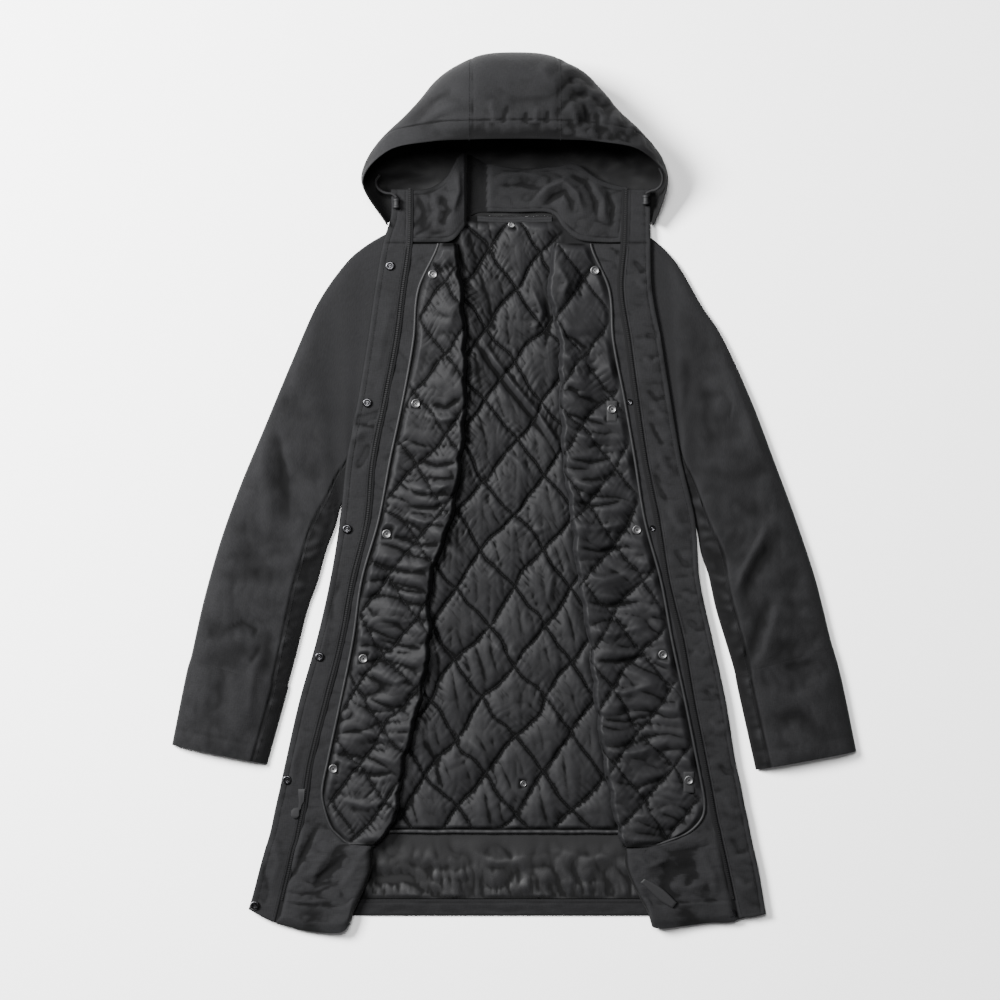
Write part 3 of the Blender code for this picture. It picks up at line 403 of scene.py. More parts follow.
def sheet_between(name, top, low, material, uv=None, flat_under=False, angle=50, shade=0.0,
                  under=None, broad=0.0):
    """A closed sheet of cloth between two grids of points, or under one where it lies flat.

    It carries painted shading, shade in its hollows and a highlight on its ridges. shade adds
    painted shade to the upper face and under to the lower one; broad counts its wide folds too.
    """
    rows, cols = top.shape[:2]
    hollow = (0.6 * hollow_of(top, 7, 1.6) + 0.9 * hollow_of(top, 3, 0.5)
              + broad * hollow_of(top, 26, 3.2))
    hollow = np.clip(hollow + shade, -1, 1)
    if under is not None:
        hollow = np.concatenate([hollow, np.broadcast_to(under, hollow.shape)])
    index = np.arange(rows * cols).reshape(rows, cols)
    rim = np.concatenate([index[0], index[1:, -1], index[-1, -2::-1], index[-2:0:-1, 0]])
    quads = np.stack([index[:-1, :-1], index[:-1, 1:], index[1:, 1:], index[1:, :-1]], -1)
    quads = quads.reshape(-1, 4)
    flat_uv = (top[..., :2] if uv is None else uv).reshape(-1, 2)
    if flat_under:
        foot = rows * cols + np.arange(len(rim))
        points = np.concatenate([top.reshape(-1, 3), low.reshape(-1, 3)[rim]])
        faces = quads.tolist() + [foot[::-1].tolist()]
        flat_uv = np.concatenate([flat_uv, flat_uv[rim]])
    else:
        foot = rows * cols + rim
        points = np.concatenate([top.reshape(-1, 3), low.reshape(-1, 3)])
        faces = quads.tolist() + (quads[:, ::-1] + rows * cols).tolist()
        flat_uv = np.concatenate([flat_uv, flat_uv])
    sides = np.stack([np.roll(rim, -1), rim, foot, np.roll(foot, -1)], -1)
    return mesh_object(name, points, faces + sides.tolist(), material, flat_uv, angle, hollow)


def tube_between(name, outer, inner, material, uv, shade=0.0):
    """A closed wall between two tubes of points, each row once round."""
    rows, cols = outer.shape[:2]
    index = np.arange(rows * cols).reshape(rows, cols)
    here, there = index, np.roll(index, -1, axis=1)
    skin = np.stack([here[:-1], there[:-1], there[1:], here[1:]], -1).reshape(-1, 4)
    step = rows * cols
    faces = skin.tolist() + (skin[:, ::-1] + step).tolist()
    faces += np.stack([there[0], here[0], here[0] + step, there[0] + step], -1).tolist()
    faces += np.stack([here[-1], there[-1], there[-1] + step, here[-1] + step], -1).tolist()
    points = np.concatenate([outer.reshape(-1, 3), inner.reshape(-1, 3)])
    flat_uv = uv.reshape(-1, 2)
    # Painted shading: shade in its folds, a highlight on its ridges, and the given painted shade.
    return mesh_object(name, points, faces, material, np.concatenate([flat_uv, flat_uv]),
                       hollow=np.clip(0.5 * hollow_of(outer, 6.0, 1.2) + shade
                                      + 0.7 * hollow_of(outer, 30.0, 3.5), -1, 1))


def ringed(name, rings, material, uv=None, angle=35):
    """A closed piece through rings of points, its first and last ring capped."""
    rings = np.array(rings)
    index = np.arange(rings.shape[0] * rings.shape[1]).reshape(rings.shape[:2])
    turn = np.roll(index, -1, axis=1)
    faces = np.stack([index[:-1], turn[:-1], turn[1:], index[1:]], -1).reshape(-1, 4).tolist()
    faces += [index[0][::-1].tolist(), index[-1].tolist()]
    return mesh_object(name, rings.reshape(-1, 3), faces, material, uv, angle)


def swept(name, path, ring, material):
    """A bead of a given section along a path of points in mm. ring gives (side, up) offsets."""
    path = np.asarray(path, float)
    ahead = np.gradient(path, axis=0)
    ahead /= np.linalg.norm(ahead, axis=1, keepdims=True)
    side = np.cross(ahead, (0, 0, 1))
    side /= np.linalg.norm(side, axis=1, keepdims=True)
    up = np.cross(side, ahead)
    rings = np.stack([path + side * a + up * b for a, b in ring], 1)
    run = np.concatenate([[0], np.cumsum(np.linalg.norm(np.diff(path, axis=0), axis=1))])
    across = np.linspace(0, 9, len(ring))
    uv = np.stack(np.broadcast_arrays(across[None, :], run[:, None]), -1).reshape(-1, 2)
    return ringed(name, rings, material, uv, 50)


def surface(*objects):
    """A tree of the pieces that something is laid on."""
    points, faces = [], []
    for obj in objects:
        base = len(points)
        points += [v.co.copy() for v in obj.data.vertices]
        faces += [[base + v for v in p.vertices] for p in obj.data.polygons]
    return BVHTree.FromPolygons(points, faces)


def laid_on(tree, points, above):
    """The points in mm that are over a surface, just above it."""
    found = []
    for x, y in points:
        hit = tree.ray_cast(Vector((x * MM, y * MM, 0.3)), Vector((0, 0, -1)))[0]
        if hit is not None:
            found.append((x, y, hit.z / MM + above))
    return found


# ---- Materials

def linear(code):
    """A colour's linear value from its sRGB hex code."""
    parts = [int(code[i:i + 2], 16) / 255 for i in (0, 2, 4)]
    return tuple(c / 12.92 if c <= 0.04045 else ((c + 0.055) / 1.055) ** 2.4 for c in parts)


def add(tree, kind, inputs=None, **settings):
    """Adds a node with its settings, values and links."""
    made = tree.nodes.new(kind)
    for key, value in settings.items():
        setattr(made, key, value)
    for socket, value in (inputs or {}).items():
        if isinstance(value, bpy.types.NodeSocket):
            tree.links.new(value, made.inputs[socket])
        else:
            made.inputs[socket].default_value = value
    return made


def blank(name, **shader):
    """A material with one Principled shader, its even values set on its own sockets."""
    material = bpy.data.materials.new(name)
    material.use_nodes = True
    tree = material.node_tree
    tree.nodes.clear()
    base = add(tree, "ShaderNodeBsdfPrincipled",
               {key.replace("_", " "): value for key, value in shader.items()})
    add(tree, "ShaderNodeOutputMaterial", {"Surface": base.outputs[0]})
    return material, tree, base


def tinted(tree, base, colour, factor, low, high, valley_shade=0.0, ridge_highlight=0.0):
    """Links a base colour that a pattern takes between two shades of one colour.

    Little light reaches a valley of the cloth, so the mesh's own hollow attribute paints
    shade into its valleys and a highlight onto its ridges.
    """
    shades = add(tree, "ShaderNodeMix", {0: factor, 6: (*[c * low for c in colour], 1),
                                         7: (*[c * high for c in colour], 1)}, data_type="RGBA")
    # Painted shade in the valleys and a painted highlight on the ridges, read from the mesh.
    if valley_shade:
        hollow = add(tree, "ShaderNodeAttribute", attribute_name="hollow").outputs["Fac"]
        deep = add(tree, "ShaderNodeMapRange", {0: hollow, 1: 0.05, 2: 1.0, 4: valley_shade}).outputs[0]
        painted_ridge_light = add(tree, "ShaderNodeMapRange", {0: hollow, 1: -0.05, 2: -1.0, 4: ridge_highlight})
        shades = add(tree, "ShaderNodeMix", {0: painted_ridge_light.outputs[0], 6: shades.outputs[2],
                                             7: (*[c * 2.4 for c in colour], 1)},
                     data_type="RGBA")
        shades = add(tree, "ShaderNodeMix", {0: deep, 6: shades.outputs[2],
                                             7: (*[c * 0.08 for c in colour], 1)},
                     data_type="RGBA")
        gloss = add(tree, "ShaderNodeMapRange", {0: deep, 3: base.inputs["Roughness"].default_value,
                                                 4: 1.0})
        tree.links.new(gloss.outputs[0], base.inputs["Roughness"])
    tree.links.new(shades.outputs[2], base.inputs["Base Color"])


def woven(name, colour, thread, slub, dark, bright, height, valley_shade=0.78, ridge_highlight=0.15, **shader):
    """Cloth whose threads follow its own UV map. thread is the spacing drawn, in millimetres."""
    material, tree, base = blank(name, **shader)
    place = add(tree, "ShaderNodeUVMap", uv_map="cloth").outputs[0]
    scale = 1 / (thread * MM)
    threads = []
    for stretch in ((1, 1 / slub, 1), (1 / slub, 1, 1)):
        turned_to = add(tree, "ShaderNodeMapping", {0: place, "Scale": stretch}).outputs[0]
        threads.append(add(tree, "ShaderNodeTexNoise", {"Vector": turned_to, "Scale": scale,
                                                        "Detail": 1.5}).outputs[0])
    weave = add(tree, "ShaderNodeMath", {0: threads[0], 1: threads[1]}).outputs[0]
    weave = add(tree, "ShaderNodeMapRange", {0: weave, 1: 0.7, 2: 1.3}).outputs[0]
    solid = add(tree, "ShaderNodeTexCoord").outputs["Object"]
    clouds = add(tree, "ShaderNodeTexNoise", {"Vector": solid, "Scale": 1 / (45 * MM),
                                              "Detail": 3.0}).outputs[0]
    clouds = add(tree, "ShaderNodeMapRange", {0: clouds, 1: 0.3, 2: 0.7}).outputs[0]
    both = add(tree, "ShaderNodeMix", {0: 0.4, 2: weave, 3: clouds}).outputs[0]
    tinted(tree, base, colour, both, dark, bright, valley_shade, ridge_highlight)
    bump = add(tree, "ShaderNodeBump", {"Strength": 0.6, "Distance": height * MM, "Height": weave})
    tree.links.new(bump.outputs[0], base.inputs["Normal"])
    return material


def mottled(name, colour, grain, low, high, noise=(), **shader):
    """A material with an uneven colour, its pattern's grain in millimetres."""
    material, tree, base = blank(name, **shader)
    place = add(tree, "ShaderNodeTexCoord").outputs["Object"]
    pattern = add(tree, "ShaderNodeTexNoise", {"Vector": place, "Scale": 1 / (grain * MM),
                                               **dict(noise)}).outputs[0]
    tinted(tree, base, colour, pattern, low, high)
    return material, tree, base, pattern


def make_materials(look):
    """Every finish of the coat, keyed by what it is."""
    made = {}
    # Plain-weave cotton and nylon with a dry finish: no highlight, a grain of uneven threads.
    # Its threads are 0.3 mm apart, too fine to show, so they are drawn at 1.3 mm.
    made["shell"] = woven("shell_plain_weave_cotton_nylon", look.shell, 1.3, 5.0, 0.72, 1.30, 0.22,
                          Roughness=0.88, Sheen_Weight=0.02, Sheen_Roughness=0.4,
                          Specular_IOR_Level=0.12)
    # Polyester taffeta: tight filament weave, a soft sheen. Drawn at 0.9 mm for its 0.15 mm.
    made["lining"] = woven("lining_woven_polyester_taffeta", look.lining, 0.9, 4.0, 0.85, 1.15,
                           0.08, 0.9, 0.3, Roughness=0.55, Sheen_Weight=0.02,
                           Specular_IOR_Level=0.16)
    # Nylon satin: long floats lift the top of each padded diamond with a soft, low sheen.
    made["satin"] = woven("liner_satin_weave_nylon", look.satin, 0.9, 7.0, 0.9, 1.1, 0.05,
                          0.95, 0.2, Roughness=0.6, Specular_IOR_Level=0.08)
    # Bias-cut satin round a cord.
    made["binding"] = woven("binding_bias_cut_satin", look.binding, 0.9, 4.0, 0.85, 1.15, 0.06,
                            Roughness=0.55, Specular_IOR_Level=0.14)
    # Woven zip tape: stiff and dull, coarser than the lining.
    made["tape"] = woven("zip_tape_woven_polyester", look.lining, 1.1, 3.0, 0.5, 0.8, 0.15,
                         Roughness=0.85, Specular_IOR_Level=0.1)
    # Moulded nylon zip teeth: smooth, slightly shiny.
    made["teeth"] = mottled("zip_teeth_moulded_nylon", linear("0c0c0d"), 3, 0.8, 1.2,
                            Roughness=0.55, Specular_IOR_Level=0.12)[0]
    # Spun polyester thread: dull and hairy, near the colour of the lining.
    made["thread"] = mottled("thread_spun_polyester", look.thread, 0.8, 0.7, 1.25,
                             Roughness=0.8, Specular_IOR_Level=0.12)[0]
    # Black nickel plate on pressed brass: dark mirror, lighter where handling has rubbed it.
    made["nickel"], tree, base, rub = mottled("snap_black_nickel_plate", linear("38383a"), 2.5,
                                              0.7, 1.25, {"Detail": 4.0}, Metallic=1.0)
    gloss = add(tree, "ShaderNodeMapRange", {0: rub, 3: 0.16, 4: 0.34}).outputs[0]
    tree.links.new(gloss, base.inputs["Roughness"])
    # Polished polyester resin, dulled by handling: smoky, with faint clouding.
    made["resin"] = mottled("button_polished_polyester_resin", look.button, 4, 0.6, 1.5,
                            {"Detail": 2.0, "Distortion": 1.2}, IOR=1.55, Roughness=0.42,
                            Coat_Weight=0.1)[0]
    # Braided polyester cord: strands crossing at 45 degrees.
    made["cord"], tree, base = blank("cord_braided_polyester", Roughness=0.8,
                                     Specular_IOR_Level=0.2)
    place = add(tree, "ShaderNodeTexCoord").outputs["Object"]
    strands = [add(tree, "ShaderNodeTexWave", {"Vector": place, "Scale": 1 / (3.2 * MM)},
                   bands_direction=axis).outputs[1] for axis in ("DIAGONAL", "Y")]
    braid = add(tree, "ShaderNodeMath", {0: strands[0], 1: strands[1]},
                operation="MULTIPLY").outputs[0]
    tinted(tree, base, linear("161617"), braid, 0.6, 1.6)
    bump = add(tree, "ShaderNodeBump", {"Strength": 0.7, "Distance": 0.3 * MM, "Height": braid})
    tree.links.new(bump.outputs[0], base.inputs["Normal"])
    # Barrel lock: moulded acetal, even and slightly waxy.
    made["acetal"] = mottled("lock_moulded_acetal", linear("161617"), 6, 0.8, 1.25,
                             Roughness=0.6, IOR=1.48, Specular_IOR_Level=0.15)[0]
    return made


FINISH = {}


def finish_of(name):
    """A material by its key. They are all made at the first call."""
    if not FINISH:
        FINISH.update(make_materials(bpy.context.scene.coat_look))
    return FINISH[name]


# ---- Telling the frame what each piece is

def worn(obj, slot, *nodes):
    """Puts a piece in the one body and hides the nodes it replaces. slot is not used."""
    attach(obj, "root")
    if nodes:
        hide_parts(*nodes)
    return obj


def cloth(obj, slot, nodes, wide, long, share=1.0, held="laid"):
    """A sewn panel, put in the one body with its nodes hidden.

    The width and length of its cut, how much of that rectangle it fills, and held are not used.
    """
    worn(obj, slot, *nodes)
    if wide < LEAST_CUT:
        wide, share = LEAST_CUT, max(0.3, share * wide / LEAST_CUT)
    return obj


def cut_area(ys, widths):
    """(width, length, share) of the rectangle that an outline is cut from."""
    wide, long = float(np.max(widths)), float(abs(ys[0] - ys[-1]))
    area = float(np.sum((widths[1:] + widths[:-1]) / 2 * np.abs(np.diff(ys))))
    # A strip with one wide end is stated without the thin tip of it.
    wide = min(wide, area / (0.35 * long))
    return wide, long, area / (wide * long)


def cut_of_tube(ring, width, run):
    """(width, length, share) of the panel that makes a tube of cloth."""
    wrapped = np.concatenate([ring, ring[:, :1]], 1)
    across, along = np.diff(wrapped, axis=1)[:-1], np.diff(wrapped, axis=0)[:, :-1]
    area = float(np.linalg.norm(np.cross(across, along), axis=-1).sum())
    wide, long = float(2 * width.max()), float(run[-1])
    return wide, long, min(1.0, max(0.31, area / (wide * long)))


# ---- Rows of stitches and teeth

def row_tree(name, tooth):
    """Geometry nodes that set one small piece at even steps along each line of a mesh."""
    tree = bpy.data.node_groups.new(name, "GeometryNodeTree")
    face = tree.interface
    face.new_socket("Geometry", in_out="INPUT", socket_type="NodeSocketGeometry")
    for label in ("Pitch", "Length", "Width", "Thickness"):
        face.new_socket(label, in_out="INPUT", socket_type="NodeSocketFloat")
    face.new_socket("Material", in_out="INPUT", socket_type="NodeSocketMaterial")
    face.new_socket("Geometry", in_out="OUTPUT", socket_type="NodeSocketGeometry")
    given = add(tree, "NodeGroupInput").outputs
    lines = add(tree, "GeometryNodeMeshToCurve", {"Mesh": given["Geometry"]})
    even = add(tree, "GeometryNodeResampleCurve", {"Curve": lines.outputs[0],
                                                   "Length": given["Pitch"]}, mode="LENGTH")
    if tooth:
        size = add(tree, "ShaderNodeCombineXYZ", {0: given["Width"], 1: given["Thickness"],
                                                  2: given["Length"]}).outputs[0]
        shape = add(tree, "GeometryNodeMeshCube", {"Size": size}).outputs[0]
    else:
        half = add(tree, "ShaderNodeMath", {0: given["Width"], 1: 0.5}, operation="MULTIPLY")
        shape = add(tree, "GeometryNodeMeshCylinder",
                    {"Vertices": 5, "Radius": half.outputs[0], "Depth": given["Length"]}).outputs[0]
    along = add(tree, "GeometryNodeInputTangent").outputs[0]
    turn = add(tree, "FunctionNodeAlignRotationToVector", {"Vector": along}, axis="Z")
    turn = add(tree, "FunctionNodeAlignRotationToVector",
               {"Rotation": turn.outputs[0], "Vector": (0, 0, 1)}, axis="Y", pivot_axis="Z")
    placed = add(tree, "GeometryNodeInstanceOnPoints",
                 {"Points": even.outputs[0], "Instance": shape, "Rotation": turn.outputs[0]})
    real = add(tree, "GeometryNodeRealizeInstances", {0: placed.outputs[0]})
    done = add(tree, "GeometryNodeSetMaterial", {"Geometry": real.outputs[0],
                                                 "Material": given["Material"]})
    add(tree, "NodeGroupOutput", {"Geometry": done.outputs[0]})
    return tree


def row_of(name, lines, pitch, length, width, thickness, material, tooth=False):
    """One mesh of stitches, or zip teeth, along lines of points in mm."""
    guide = bpy.data.meshes.new(name + "_guide")
    points, edges = [], []
    for line in lines:
        if len(line) < 2:
            continue
        start = len(points)
        points += [tuple(c * MM for c in p) for p in line]
        edges += [(i, i + 1) for i in range(start, len(points) - 1)]
    guide.from_pydata(points, edges, [])
    obj = new_object(name + "_guide", guide)
    kind = "zip_teeth_row" if tooth else "stitch_row"
    tree = bpy.data.node_groups.get(kind) or row_tree(kind, tooth)
    modifier = obj.modifiers.new("row", "NODES")
    modifier.node_group = tree
    values = {"Pitch": pitch * MM, "Length": length * MM, "Width": width * MM,
              "Thickness": thickness * MM, "Material": material}
    for socket in tree.interface.items_tree:
        if socket.in_out == "INPUT" and socket.name in values:
            modifier[socket.identifier] = values[socket.name]
    ready = obj.evaluated_get(bpy.context.evaluated_depsgraph_get())
    mesh = bpy.data.meshes.new_from_object(ready)
    mesh.name = name
    mesh.shade_smooth()
    mesh.set_sharp_from_angle(angle=math.radians(50))
    made = new_object(name, mesh)
    bpy.data.objects.remove(obj)
    bpy.data.meshes.remove(guide)
    return made


def stitches(name, lines, slot):
    """Topstitching or quilting along lines of points, with the look's thread."""
    look = bpy.context.scene.coat_look
    return worn(row_of(name, lines, look.stitch_pitch / MM, look.stitch_length / MM,
                       look.thread_width / MM, look.thread_width / MM, finish_of("thread")), slot)


# ---- Shell

def back_panel():
    ys = np.concatenate([np.linspace(NECK_Y - 0.4, 326, 6), np.arange(318, -518, -7.0),
                         [BACK_HEM_Y]])
    neck = ease((NECK_Y - ys) / 35)
    right, left = (np.where(ys > 311, NECK_HALF + (half - NECK_HALF) * neck, half)
                   for half in (RIGHT.at("seam", ys) - 1, LEFT.at("seam", ys) - 1))
    x, y = between(ys, -right, left, 40)
    # Painted shade: the whole piece drawn darker, besides the shade in its hollows.
    obj = sheet_between("back_panel", level(x, y, BACK_TOP), level(x, y, 0.0),
                        finish_of("shell"), shade=0.35)
    return cloth(obj, "shell", ("back",), *cut_area(ys, right + left))


def turned_front(side):
    """The front from its side seam inwards, round the fold and back out to its free edge."""
    ys = down(FRONT_TOP_Y, BACK_HEM_Y, 5.0)
    seam, edge, fold = (side.at(n, ys) for n in ("seam", "edge", "fold"))
    centre = fold + BEND_IN
    bend = [(centre - BEND * math.cos(a), np.full(len(ys), LEG_LOW + BEND + BEND * math.sin(a)))
            for a in np.radians((-90, -45, 0, 45, 90))]
    flat = np.full(len(ys), 1.0)
    line = [(seam, 2.6 * flat), (seam - 6, 3.1 * flat), (seam - 14, 4.1 * flat),
            (seam - 30, LEG_LOW * flat), (seam - 60, LEG_LOW * flat)] + bend
    for share in np.linspace(0.1, 1, 12):
        line.append((centre + (edge - 2 - centre) * share, LEG_UP * flat))
    grid = np.stack([side.place(out, ys, z) for out, z in line], 1)
    by = normals(grid)
    obj = sheet_between(f"front_panel_{side.tag}", grid + by * SHELL / 2, grid - by * SHELL / 2,
                        finish_of("shell"))
    run = (seam - fold) + (edge - fold)
    return cloth(obj, "shell", (f"front_{side.tag}",), *cut_area(ys, run), held="folded")


def strip(name, side, ys, inner, outer, columns, base, thick, bumps, material, slot, nodes,
          round_edge=1.5):
    """A band laid on the turned-back front, with soft edges and its own small folds."""
    out, y = between(ys, inner, outer, columns)
    place = side.place(out, y, np.zeros(out.shape))
    near = np.minimum(out - inner[:, None], outer[:, None] - out)
    soft = rounded(near, round_edge)
    end = ease(np.minimum(ys[0] - y, y - ys[-1]) / 2 + 0.3)
    z = base + thick * (0.45 + 0.55 * soft * end)
    z = z + bumps(place[..., 0], place[..., 1], out, y) * ease(near / 5) * end
    top = side.place(out, y, np.maximum(z, base + 0.4))
    low = side.place(out, y, np.full(out.shape, base))
    obj = sheet_between(name, top, low, material, flat_under=True)
    return cloth(obj, slot, nodes, *cut_area(ys, outer - inner))


STRIP_FOLDS = {
    "r": (
        Fold(((-190, 95), (-181, 84), (-170, 86)), 5, -1.6, 0.4),
        Fold(((-204, 84), (-192, 96), (-178, 98), (-160, 106)), 4, -2.8, 0.3),
        Fold(((-203, 66), (-190, 78), (-172, 84)), 6, 1.8),
        Fold(((-196, 30), (-186, 48), (-178, 66)), 5, -1.8),
        Fold(((-150, 250), (-164, 190), (-170, 150)), 7, 0.8, 0.2),
        Fold(((-232, -140), (-236, -180), (-246, -215)), 6, 1.0),
        Fold(((-214, -100), (-224, -130), (-228, -160)), 5, -0.9),
        Fold(((-262, -300), (-274, -330), (-276, -372)), 6, 1.0),
        Fold(((-300, -420), (-292, -455), (-304, -488)), 8, 1.3, 0.2),
        Fold(((-318, -450), (-306, -480), (-312, -512)), 7, -1.0),
    ),
    "l": (
        Fold(((146, 292), (156, 280), (160, 272)), 4, -1.3),
        Fold(((150, 268), (160, 258), (172, 254)), 5, 1.2),
        Fold(((160, 196), (172, 198), (182, 202)), 4, -1.4),
        Fold(((158, 170), (170, 162), (184, 172)), 6, 1.4, 0.3),
        Fold(((162, 132), (176, 118), (190, 124)), 5, -1.3),
        Fold(((168, 116), (180, 100), (190, 92)), 6, 1.5),
        Fold(((166, 92), (178, 70), (184, 60)), 4, -1.5),
        Fold(((176, 60), (186, 34), (196, 22)), 6, 1.4, 0.2),
        Fold(((172, 30), (178, 10), (190, -12)), 5, -1.2),
        Fold(((190, -10), (200, -34), (214, -52)), 7, 1.5),
        Fold(((196, -66), (208, -84), (222, -92)), 5, -1.2),
        Fold(((206, -120), (220, -130), (232, -128)), 6, 1.4),
        Fold(((214, -152), (226, -166), (238, -166)), 5, -1.2),
        Fold(((220, -192), (234, -200), (246, -196)), 6, 1.3),
        Fold(((232, -238), (244, -250), (256, -246)), 5, -1.1),
        Fold(((240, -276), (252, -290), (266, -286)), 7, 1.4),
        Fold(((250, -330), (262, -342), (276, -338)), 5, -1.2),
        Fold(((258, -372), (270, -392), (286, -392)), 7, 1.4),
        Fold(((264, -420), (278, -440), (292, -440)), 6, -1.2),
        Fold(((272, -470), (284, -486), (300, -484)), 7, 1.4),
    ),
}


def bands():
    """The snap strip, the placket strip and the zip tapes with their teeth."""
    strips = {}
    look = bpy.context.scene.coat_look
    for side in FRONTS:
        right = side is RIGHT
        ys = down(STRIP_TOP_Y, BACK_HEM_Y, 2.2)
        inner = side.at("zip", ys) + 0.7 - 1.7 * ease((ys - 303) / 6)
        outer = side.at("edge", ys)
        seed = 3 if right else 8

        def strip_bumps(x, y, out, row, side=side, seed=seed, right=right):
            wave = 0.5 if right else 0.9
            z = wave * uneven(x, y, 30, 24, seed) + wave * 0.35 * creased(x, y, 34, 17, seed + 1)
            z += wave * 0.5 * uneven(x, y, 14, 7, seed + 2) * ease(uneven(y, y, 60, 60, seed) + 0.4)
            z += folded(x, y, STRIP_FOLDS[side.tag], look.fold_strength)
            top_row = 0.5 * bell(out - side.at("edge", row) + 7, 1.2)
            seam_row = 0.4 * bell(out - side.at("zip", row) - 4, 1.2)
            cross = 0.6 * bell(row - 312, 2.0)
            return z - top_row - seam_row - cross

        name, node = ("snap_band", "snap_strip_r") if right else ("placket_band", "placket_l")
        strips[side.tag] = strip(name, side, ys, inner, outer, 17, LAID, 1.8, strip_bumps,
                                 finish_of("shell"), "shell", (node,))

        ys = down(STRIP_TOP_Y, ZIP_LOW_Y, 3.0)
        inner, outer = side.at("zip", ys) - 6, side.at("zip", ys) - 0.9
        strip(f"zip_band_{side.tag}", side, ys, inner, outer, 6, LAID + 1.2 + GAP, 0.8,
              lambda x, y, out, row: 0.0 * x, finish_of("tape"), "shell",
              (f"zip_tape_{side.tag}",), round_edge=0.8)
        line = side.place(side.at("zip", ys) - 1.2, ys, np.full(len(ys), LAID + 2.9))
        teeth = row_of(f"zip_teeth_{side.tag}", [line.tolist()], 2.6, 1.5, 2.6, 1.3,
                       finish_of("teeth"), tooth=True)
        worn(teeth, "shell")
    return strips


# ---- Sleeves

def sleeve_rings(sections, ts, thick, swell, crease):
    """Outer and inner points round a flattened sleeve, and their place on the cut cloth."""
    parts = through(np.array(sections), ts)
    ox, oy, ix, iy, height, seam = (parts[:, k][:, None] for k in range(6))
    width = np.hypot(ix - ox, iy - oy)
    across_x, across_y = (ix - ox) / width, (iy - oy) / width
    edge = SLEEVE_EDGE
    share = np.linspace(0, 1, SLEEVE_TOP)
    share = 0.5 * share + 0.5 * (1 - np.cos(np.pi * share)) / 2
    at = width * share
    near = np.minimum(at, width - at)
    rise = rounded(near, 34)
    slope = np.sin(np.pi / 2 * np.clip((width - at) / (seam * 1.25), 0, 1))
    rise = np.where(width - at < seam * 1.25, np.minimum(rise, slope), rise)
    x, y = ox + across_x * at, oy + across_y * at
    z = 2 * edge + (height - 2 * edge) * rise
    lip = rounded(near, 3.0)
    z = edge + (z - edge) * lip
    z += crease(x, y, at, width, seam, height) * ease(near / 20)
    top = np.stack([x, y, z], -1)
    below_share = np.linspace(1, 0, SLEEVE_UNDER)[1:-1]
    at2 = width * below_share
    near2 = np.minimum(at2, width - at2)
    z2 = edge * (1 - rounded(near2, 3.5))
    low = np.stack([ox + across_x * at2, oy + across_y * at2, z2], -1)
    ring = np.concatenate([top, low], 1)
    inside = ring.copy()
    pull = np.concatenate([np.clip(1 - near / 6, 0, 1), np.clip(1 - near2 / 6, 0, 1)], 1)
    sign = np.concatenate([np.where(at < width / 2, 1, -1), np.where(at2 < width / 2, 1, -1)], 1)
    inside[..., 0] += across_x * sign * pull * thick * 1.3
    inside[..., 1] += across_y * sign * pull * thick * 1.3
    inside[:, :SLEEVE_TOP, 2] -= thick * (1 - 0.75 * pull[:, :SLEEVE_TOP])
    inside[:, SLEEVE_TOP:, 2] += thick * (1 - 0.3 * pull[:, SLEEVE_TOP:])
    if swell:
        ring[:, :SLEEVE_TOP, 2] += swell
        ring[..., :2] -= (np.stack([across_x * sign, across_y * sign], -1)
                          * (pull * swell)[..., None])
    centre = np.stack([(ox + ix) / 2, (oy + iy) / 2], -1)[:, 0]
    run = np.concatenate([[0], np.cumsum(np.linalg.norm(np.diff(centre, axis=0), axis=1))])
    u = np.concatenate([at - width / 2, width * 1.5 - at2], 1)
    uv = np.stack([u, np.broadcast_to(-run[:, None], u.shape)], -1)
    return ring, inside, uv, width[:, 0], run


def under_front(tag, grid):
    """The sleeve head runs on under the turned-back front, to just short of its side seam."""
    if grid.shape[-1] == 2:
        return np.concatenate([grid[:1]] * 4 + [grid])
    side = RIGHT if tag == "r" else LEFT
    out = side.sign * grid[0, :, 0]
    past = np.maximum(out - side.at("seam", grid[0, :, 1]) - 1.2, 0)
    heads = []
    for share in (1.0, 0.75, 0.5, 0.25):
        head = grid[0].copy()
        head[:, 0] -= side.sign * past * share
        heads.append(head)
    return np.concatenate([np.stack(heads), grid])


# Painted shade on a sleeve at its head, its elbow and its cuff.
SLEEVE_PAINTED_SHADE = {"r": (0.0, 0.15, 0.4), "l": (0.3, 0.3, 0.48)}


def painted_sleeve_shade(tag, sections, ts, width, uv):
    """Painted shade on a sleeve: more beyond its seam, and more towards its cuff."""
    seam = through(np.array(sections), ts)[:, 5:]
    shade = 0.6 * ease((seam + 5 - width[:, None] / 2 + uv[..., 0]) / 9)
    return shade + np.interp(ts, (0, 5, 9), SLEEVE_PAINTED_SHADE[tag])[:, None]


